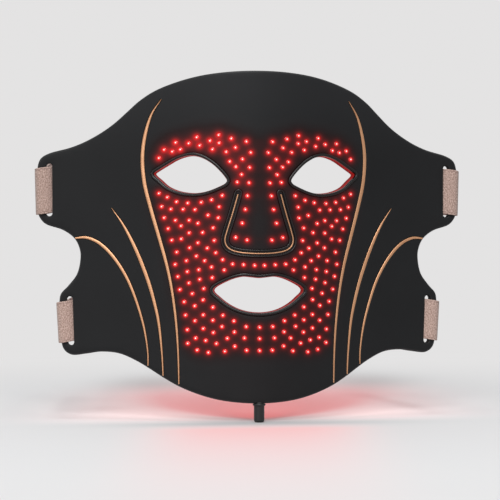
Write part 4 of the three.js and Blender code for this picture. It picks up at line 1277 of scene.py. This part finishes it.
def patch_mesh(name, size, hooked, to_frame, fold_side, seed):
    """A hook patch is a base with rows of small hooks, and a loop patch a base with raised pile."""
    patch = Band(size, fold_side, to_frame)
    half = size["width"] / 2 - PATCH_MARGIN
    foot = TAIL_LENGTH - PATCH_MARGIN - PATCH_LENGTH
    draw = random.Random(seed)
    base = BAND_THICKNESS / 2
    low = base + (HOOK_PATCH_LIFT if hooked else LOOP_PATCH_LIFT)
    ups = [foot + PATCH_LENGTH * r / PATCH_ROWS for r in range(PATCH_ROWS + 1)]
    wheres = [half * (2 * c / PATCH_COLUMNS - 1) for c in range(PATCH_COLUMNS + 1)]
    grid = []
    for r, up in enumerate(ups):
        line = []
        for c, where in enumerate(wheres):
            edge = min(r, PATCH_ROWS - r, c, PATCH_COLUMNS - c)
            rough = 0 if hooked else draw.uniform(0, PILE_HEIGHT)
            lift = PATCH_EDGE_SHARES[edge] if edge < len(PATCH_EDGE_SHARES) else 1
            out = low + (PATCH_THICKNESS * PATCH_BASE_SHARE + rough) * lift
            line += patch.add([patch.hung(-out, up, where)])
        grid.append(line)
    for lower, upper in zip(grid, grid[1:]):
        for c in range(PATCH_COLUMNS):
            patch.face((lower[c], lower[c + 1], upper[c + 1], upper[c]))
    walk = [(0, c) for c in range(PATCH_COLUMNS)]
    walk += [(r, PATCH_COLUMNS) for r in range(PATCH_ROWS)]
    walk += [(PATCH_ROWS, c) for c in range(PATCH_COLUMNS, 0, -1)]
    walk += [(r, 0) for r in range(PATCH_ROWS, 0, -1)]
    border = [grid[r][c] for r, c in walk]
    under = patch.add(patch.hung(-base - PATCH_FOOT_GAP, ups[r], wheres[c]) for r, c in walk)
    patch.loft([under, border])
    patch.face(tuple(under))
    if hooked:
        add_hooks(patch, half, foot, low + PATCH_THICKNESS * HOOK_FOOT_SHARE)
    return patch.mesh(name, 60)


def add_hooks(patch, half, foot, out):
    """Rows of small bent posts that stand on the hook patch."""
    last = HOOK_PITCH * HOOK_END_SHARE
    for up in np.arange(foot + HOOK_PITCH, foot + PATCH_LENGTH - last, HOOK_PITCH):
        for where in np.arange(-half + HOOK_PITCH, half - last, HOOK_PITCH):
            rings = []
            for rise, lean, thick in HOOK_PROFILE:
                ring = disc(np.array([up + lean, where]), HOOK_RADIUS * thick, HOOK_SIDES)
                rings.append([patch.hung(-out - rise, y, z) for y, z in ring])
            patch.rod(rings)


def make_straps():
    seed = FIRST_SEED
    for level, size in STRAP_SIZES.items():
        for name, side in SIDES:
            to_frame = band_frame(name, side, level)
            body = f"{name}_{level}_band"
            node = f"{name}_{level}_strap"
            mesh = band_mesh(f"{node}_finish", size, -side, to_frame)
            finished(mesh, [knit_material, thread_material], [node], body)
            hooked = side < 0
            node = f"{name}_{level}_{'hook' if hooked else 'loop'}_patch"
            mesh = patch_mesh(f"{node}_finish", size, hooked, to_frame, -side, seed)
            finished(mesh, [patch_material], [node], body)
            seed += 1


# CAD nodes that stay as they are, inside the sheet and the socket
def finish_inner_nodes():
    finishes = {
        "light_board": film_material, "board_ribbon": film_material,
        "left_driver_chip": chip_material, "right_driver_chip": chip_material,
        "socket_insulator": chip_material, "socket_sleeve": steel_material,
        "socket_pin": copper_material,
    }
    for name, material in finishes.items():
        mesh = frame["nodes"][name].data
        if mesh.materials:
            mesh.materials[0] = material
        else:
            mesh.materials.append(material)


# Floor: its colours, and the red light and the shade on it, at places behind (+) the foot and beside it
BACKGROUND = (0.775, 0.768, 0.768)
FLOOR_COLOUR = (0.80, 0.797, 0.797)
FLOOR_RADIUS = 9.0
FLOOR_SIDES = 96
GLOW_RED = (1.0, 0.05, 0.05)
GLOW_PALE = (1.0, 0.42, 0.4)
GLOW_SHADE_SHARE = 0.85
PATCH_SHADE_SHARE = 0.68
GLOW_MIDDLE_SHARE = 0.15
GLOW_EDGE_POWER = 4.0
ARCH_WIDEST = 100.0
ARCH_NARROWEST = 10.0
ARCH_START = 8
ARCH_GROWTH = 115
ARCH_RISE = (-2.0, 36.0)
ARCH_FALL = (40.0, 450.0)
ARCH_POWER = 0.52
WINGS_REACH = 105.0
WINGS_RISE = (-12.0, 48.0)
WINGS_FALL = (180.0, 360.0)
WINGS_POWER = 0.45
FRONT_REACH = 56.0
FRONT_RISE = (-4.0, -44.0)
FRONT_POWER = 0.38
FRONT_FADE = 250
FRONT_FADE_START = 40
FAR_START = 130.0
FAR_END = 620.0

# Shades on the floor, broad behind each side and narrow at the foot: the place beside the middle line
# and its reach, the place behind the foot and its reach, and the depth
FLOOR_SHADES = (((72.0, 34.0), (290.0, 95.0), 0.27), ((0.0, 62.0), (-8.0, 15.0), 0.3))


def floor_places(paint):
    """How far each place lies beside the glow's middle line, and how far behind the foot."""
    across, back, _ = paint.axes()
    return abs(across - back * GLOW_MIDDLE_SHARE), back


def floor_glow(paint):
    """How far red light takes over on the floor, and how strongly it shows there: in an arch behind the
    foot and a patch before it, and more faintly in wings beside the arch."""
    aside, back = floor_places(paint)
    widening = ((back - ARCH_START) * (-1 / ARCH_GROWTH)).exp()
    arch_reach = (widening * -ARCH_WIDEST + ARCH_WIDEST).most(ARCH_NARROWEST)
    arch = back.eased(*ARCH_RISE, 0.0, ARCH_POWER) * back.eased(*ARCH_FALL, 1.0, 0.0)
    arch = arch * aside.hill(0.0, arch_reach, GLOW_EDGE_POWER)
    wings = back.eased(*WINGS_RISE, 0.0, WINGS_POWER) * back.eased(*WINGS_FALL, 1.0, 0.0)
    wings = wings * aside.hill(0.0, WINGS_REACH, GLOW_EDGE_POWER)
    fading = ((back + FRONT_FADE_START) * (1 / FRONT_FADE)).exp().maths("MINIMUM", 1.0)
    front = back.eased(*FRONT_RISE, 0.0, FRONT_POWER) * fading
    front = front * aside.hill(0.0, FRONT_REACH, GLOW_EDGE_POWER)
    return arch.most(front * PATCH_SHADE_SHARE), arch.most(wings).most(front)


def floor_shade(paint):
    """1 on the open floor, and less in the broad and the narrow shade."""
    aside, back = floor_places(paint)
    broad, narrow = (
        aside.hill(*across) * back.hill(*behind) * -depth + 1.0 for across, behind, depth in FLOOR_SHADES
    )
    return broad * narrow


def camera_sees(tree):
    """1 for rays from the camera, from gloss and through glass, and otherwise 0."""
    camera, glossy, through = (
        Value(add_node(tree, "ShaderNodeLightPath").outputs[f"Is {kind} Ray"])
        for kind in ("Camera", "Glossy", "Transmission")
    )
    return camera.most(glossy).most(through)


def blended(tree, factor, first, second):
    return add_node(tree, "ShaderNodeMixShader", {0: factor, 1: first, 2: second}).outputs[0]


def make_floor():
    height = (CHIN_EDGE - SOCKET_DROP) * MM
    ring = [(x, y, height) for x, y in disc(np.zeros(2), FLOOR_RADIUS, FLOOR_SIDES)]
    mesh = bpy.data.meshes.new("floor")
    mesh.from_pydata(ring, [], [tuple(range(FLOOR_SIDES))])
    paint = Paint("pale_floor", Roughness=0.7, Specular_IOR_Level=0.1)
    taken, glow = floor_glow(paint)
    shade = floor_shade(paint)
    plain = paint.mixed(paint.noise(0.01), FLOOR_COLOUR, toned(FLOOR_COLOUR, 1.02))
    colour = paint.mixed((taken * -GLOW_SHADE_SHARE + 1.0) * shade, (0.0, 0.0, 0.0), plain)
    tint = paint.mixed(taken.ranged(0.0, 0.25, 0.0, 1.0), GLOW_PALE, GLOW_RED)
    paint.finish(Base_Color=colour, Emission_Color=tint, Emission_Strength=glow)
    length = Value(paint.vector("LENGTH").outputs["Value"])
    far = length.eased(FAR_START, FAR_END, 0.0, 1.0)
    seen = {"Color": (*BACKGROUND, 1), "Strength": camera_sees(paint.tree) * shade}
    glare = paint.node("ShaderNodeEmission", seen)
    whole = blended(paint.tree, far, paint.shader.outputs[0], glare.outputs[0])
    paint.tree.links.new(whole, paint.tree.nodes["Material Output"].inputs["Surface"])
    new_piece(mesh, [paint.material])


# World, lamps and camera
WORLD_COLOUR = (0.93, 0.96, 1.0, 1)
WORLD_STRENGTH = 0.3
LAMPS = (
    ("key", (-0.43, -2.42, 1.72), (0, 0.02, -0.05), 1.5, 62.0),
    ("left", (-1.7, -1.9, 0.5), (0, 0.02, -0.02), 0.9, 10.0),
    ("top", (-0.1, -0.2, 2.6), (0, 0.02, -0.1), 1.0, 20.0),
)
CAMERA_YAW_DEG = 8
CAMERA_DISTANCE = 1000
CAMERA_AIM = (-4.6, 0, -39.3)
VIEW_WIDTH = 265.25
SENSOR = 36


def make_world():
    world = bpy.data.worlds.new("studio")
    bpy.context.scene.world = world
    world.use_nodes = True
    tree = world.node_tree
    lighting = tree.nodes["Background"]
    lighting.inputs["Color"].default_value = WORLD_COLOUR
    lighting.inputs["Strength"].default_value = WORLD_STRENGTH
    seen = add_node(tree, "ShaderNodeBackground", {"Color": (*BACKGROUND, 1), "Strength": 1.0})
    whole = blended(tree, camera_sees(tree), lighting.outputs[0], seen.outputs[0])
    tree.links.new(whole, tree.nodes["World Output"].inputs["Surface"])


def make_lamps():
    """Round lamps: where each is, where it aims, how wide it is, and its power in watts."""
    for name, at, aim, size, watts in LAMPS:
        light = bpy.data.lights.new(name, "AREA")
        light.shape = "DISK"
        light.size = size
        light.energy = watts
        lamp = bpy.data.objects.new(name, light)
        lamp.location = at
        lamp.rotation_euler = (Vector(aim) - Vector(at)).to_track_quat("-Z", "Y").to_euler()
        bpy.context.collection.objects.link(lamp)


def make_camera():
    data = bpy.data.cameras.new("camera")
    data.sensor_width = SENSOR
    data.lens = SENSOR * CAMERA_DISTANCE / VIEW_WIDTH
    camera = bpy.data.objects.new("camera", data)
    yaw = math.radians(CAMERA_YAW_DEG)
    back = Vector((-math.sin(yaw), -math.cos(yaw), 0))
    camera.location = (Vector(CAMERA_AIM) + back * CAMERA_DISTANCE) * MM
    camera.rotation_euler = (-back).to_track_quat("-Z", "Y").to_euler()
    bpy.context.collection.objects.link(camera)
    bpy.context.scene.camera = camera


make_skin()
make_liner()
make_rims()
make_nose()
make_inlays()
make_lights()
make_socket()
make_straps()
finish_inner_nodes()
make_floor()
make_world()
make_lamps()
make_camera()
bpy.context.scene.view_settings.view_transform = "Standard"
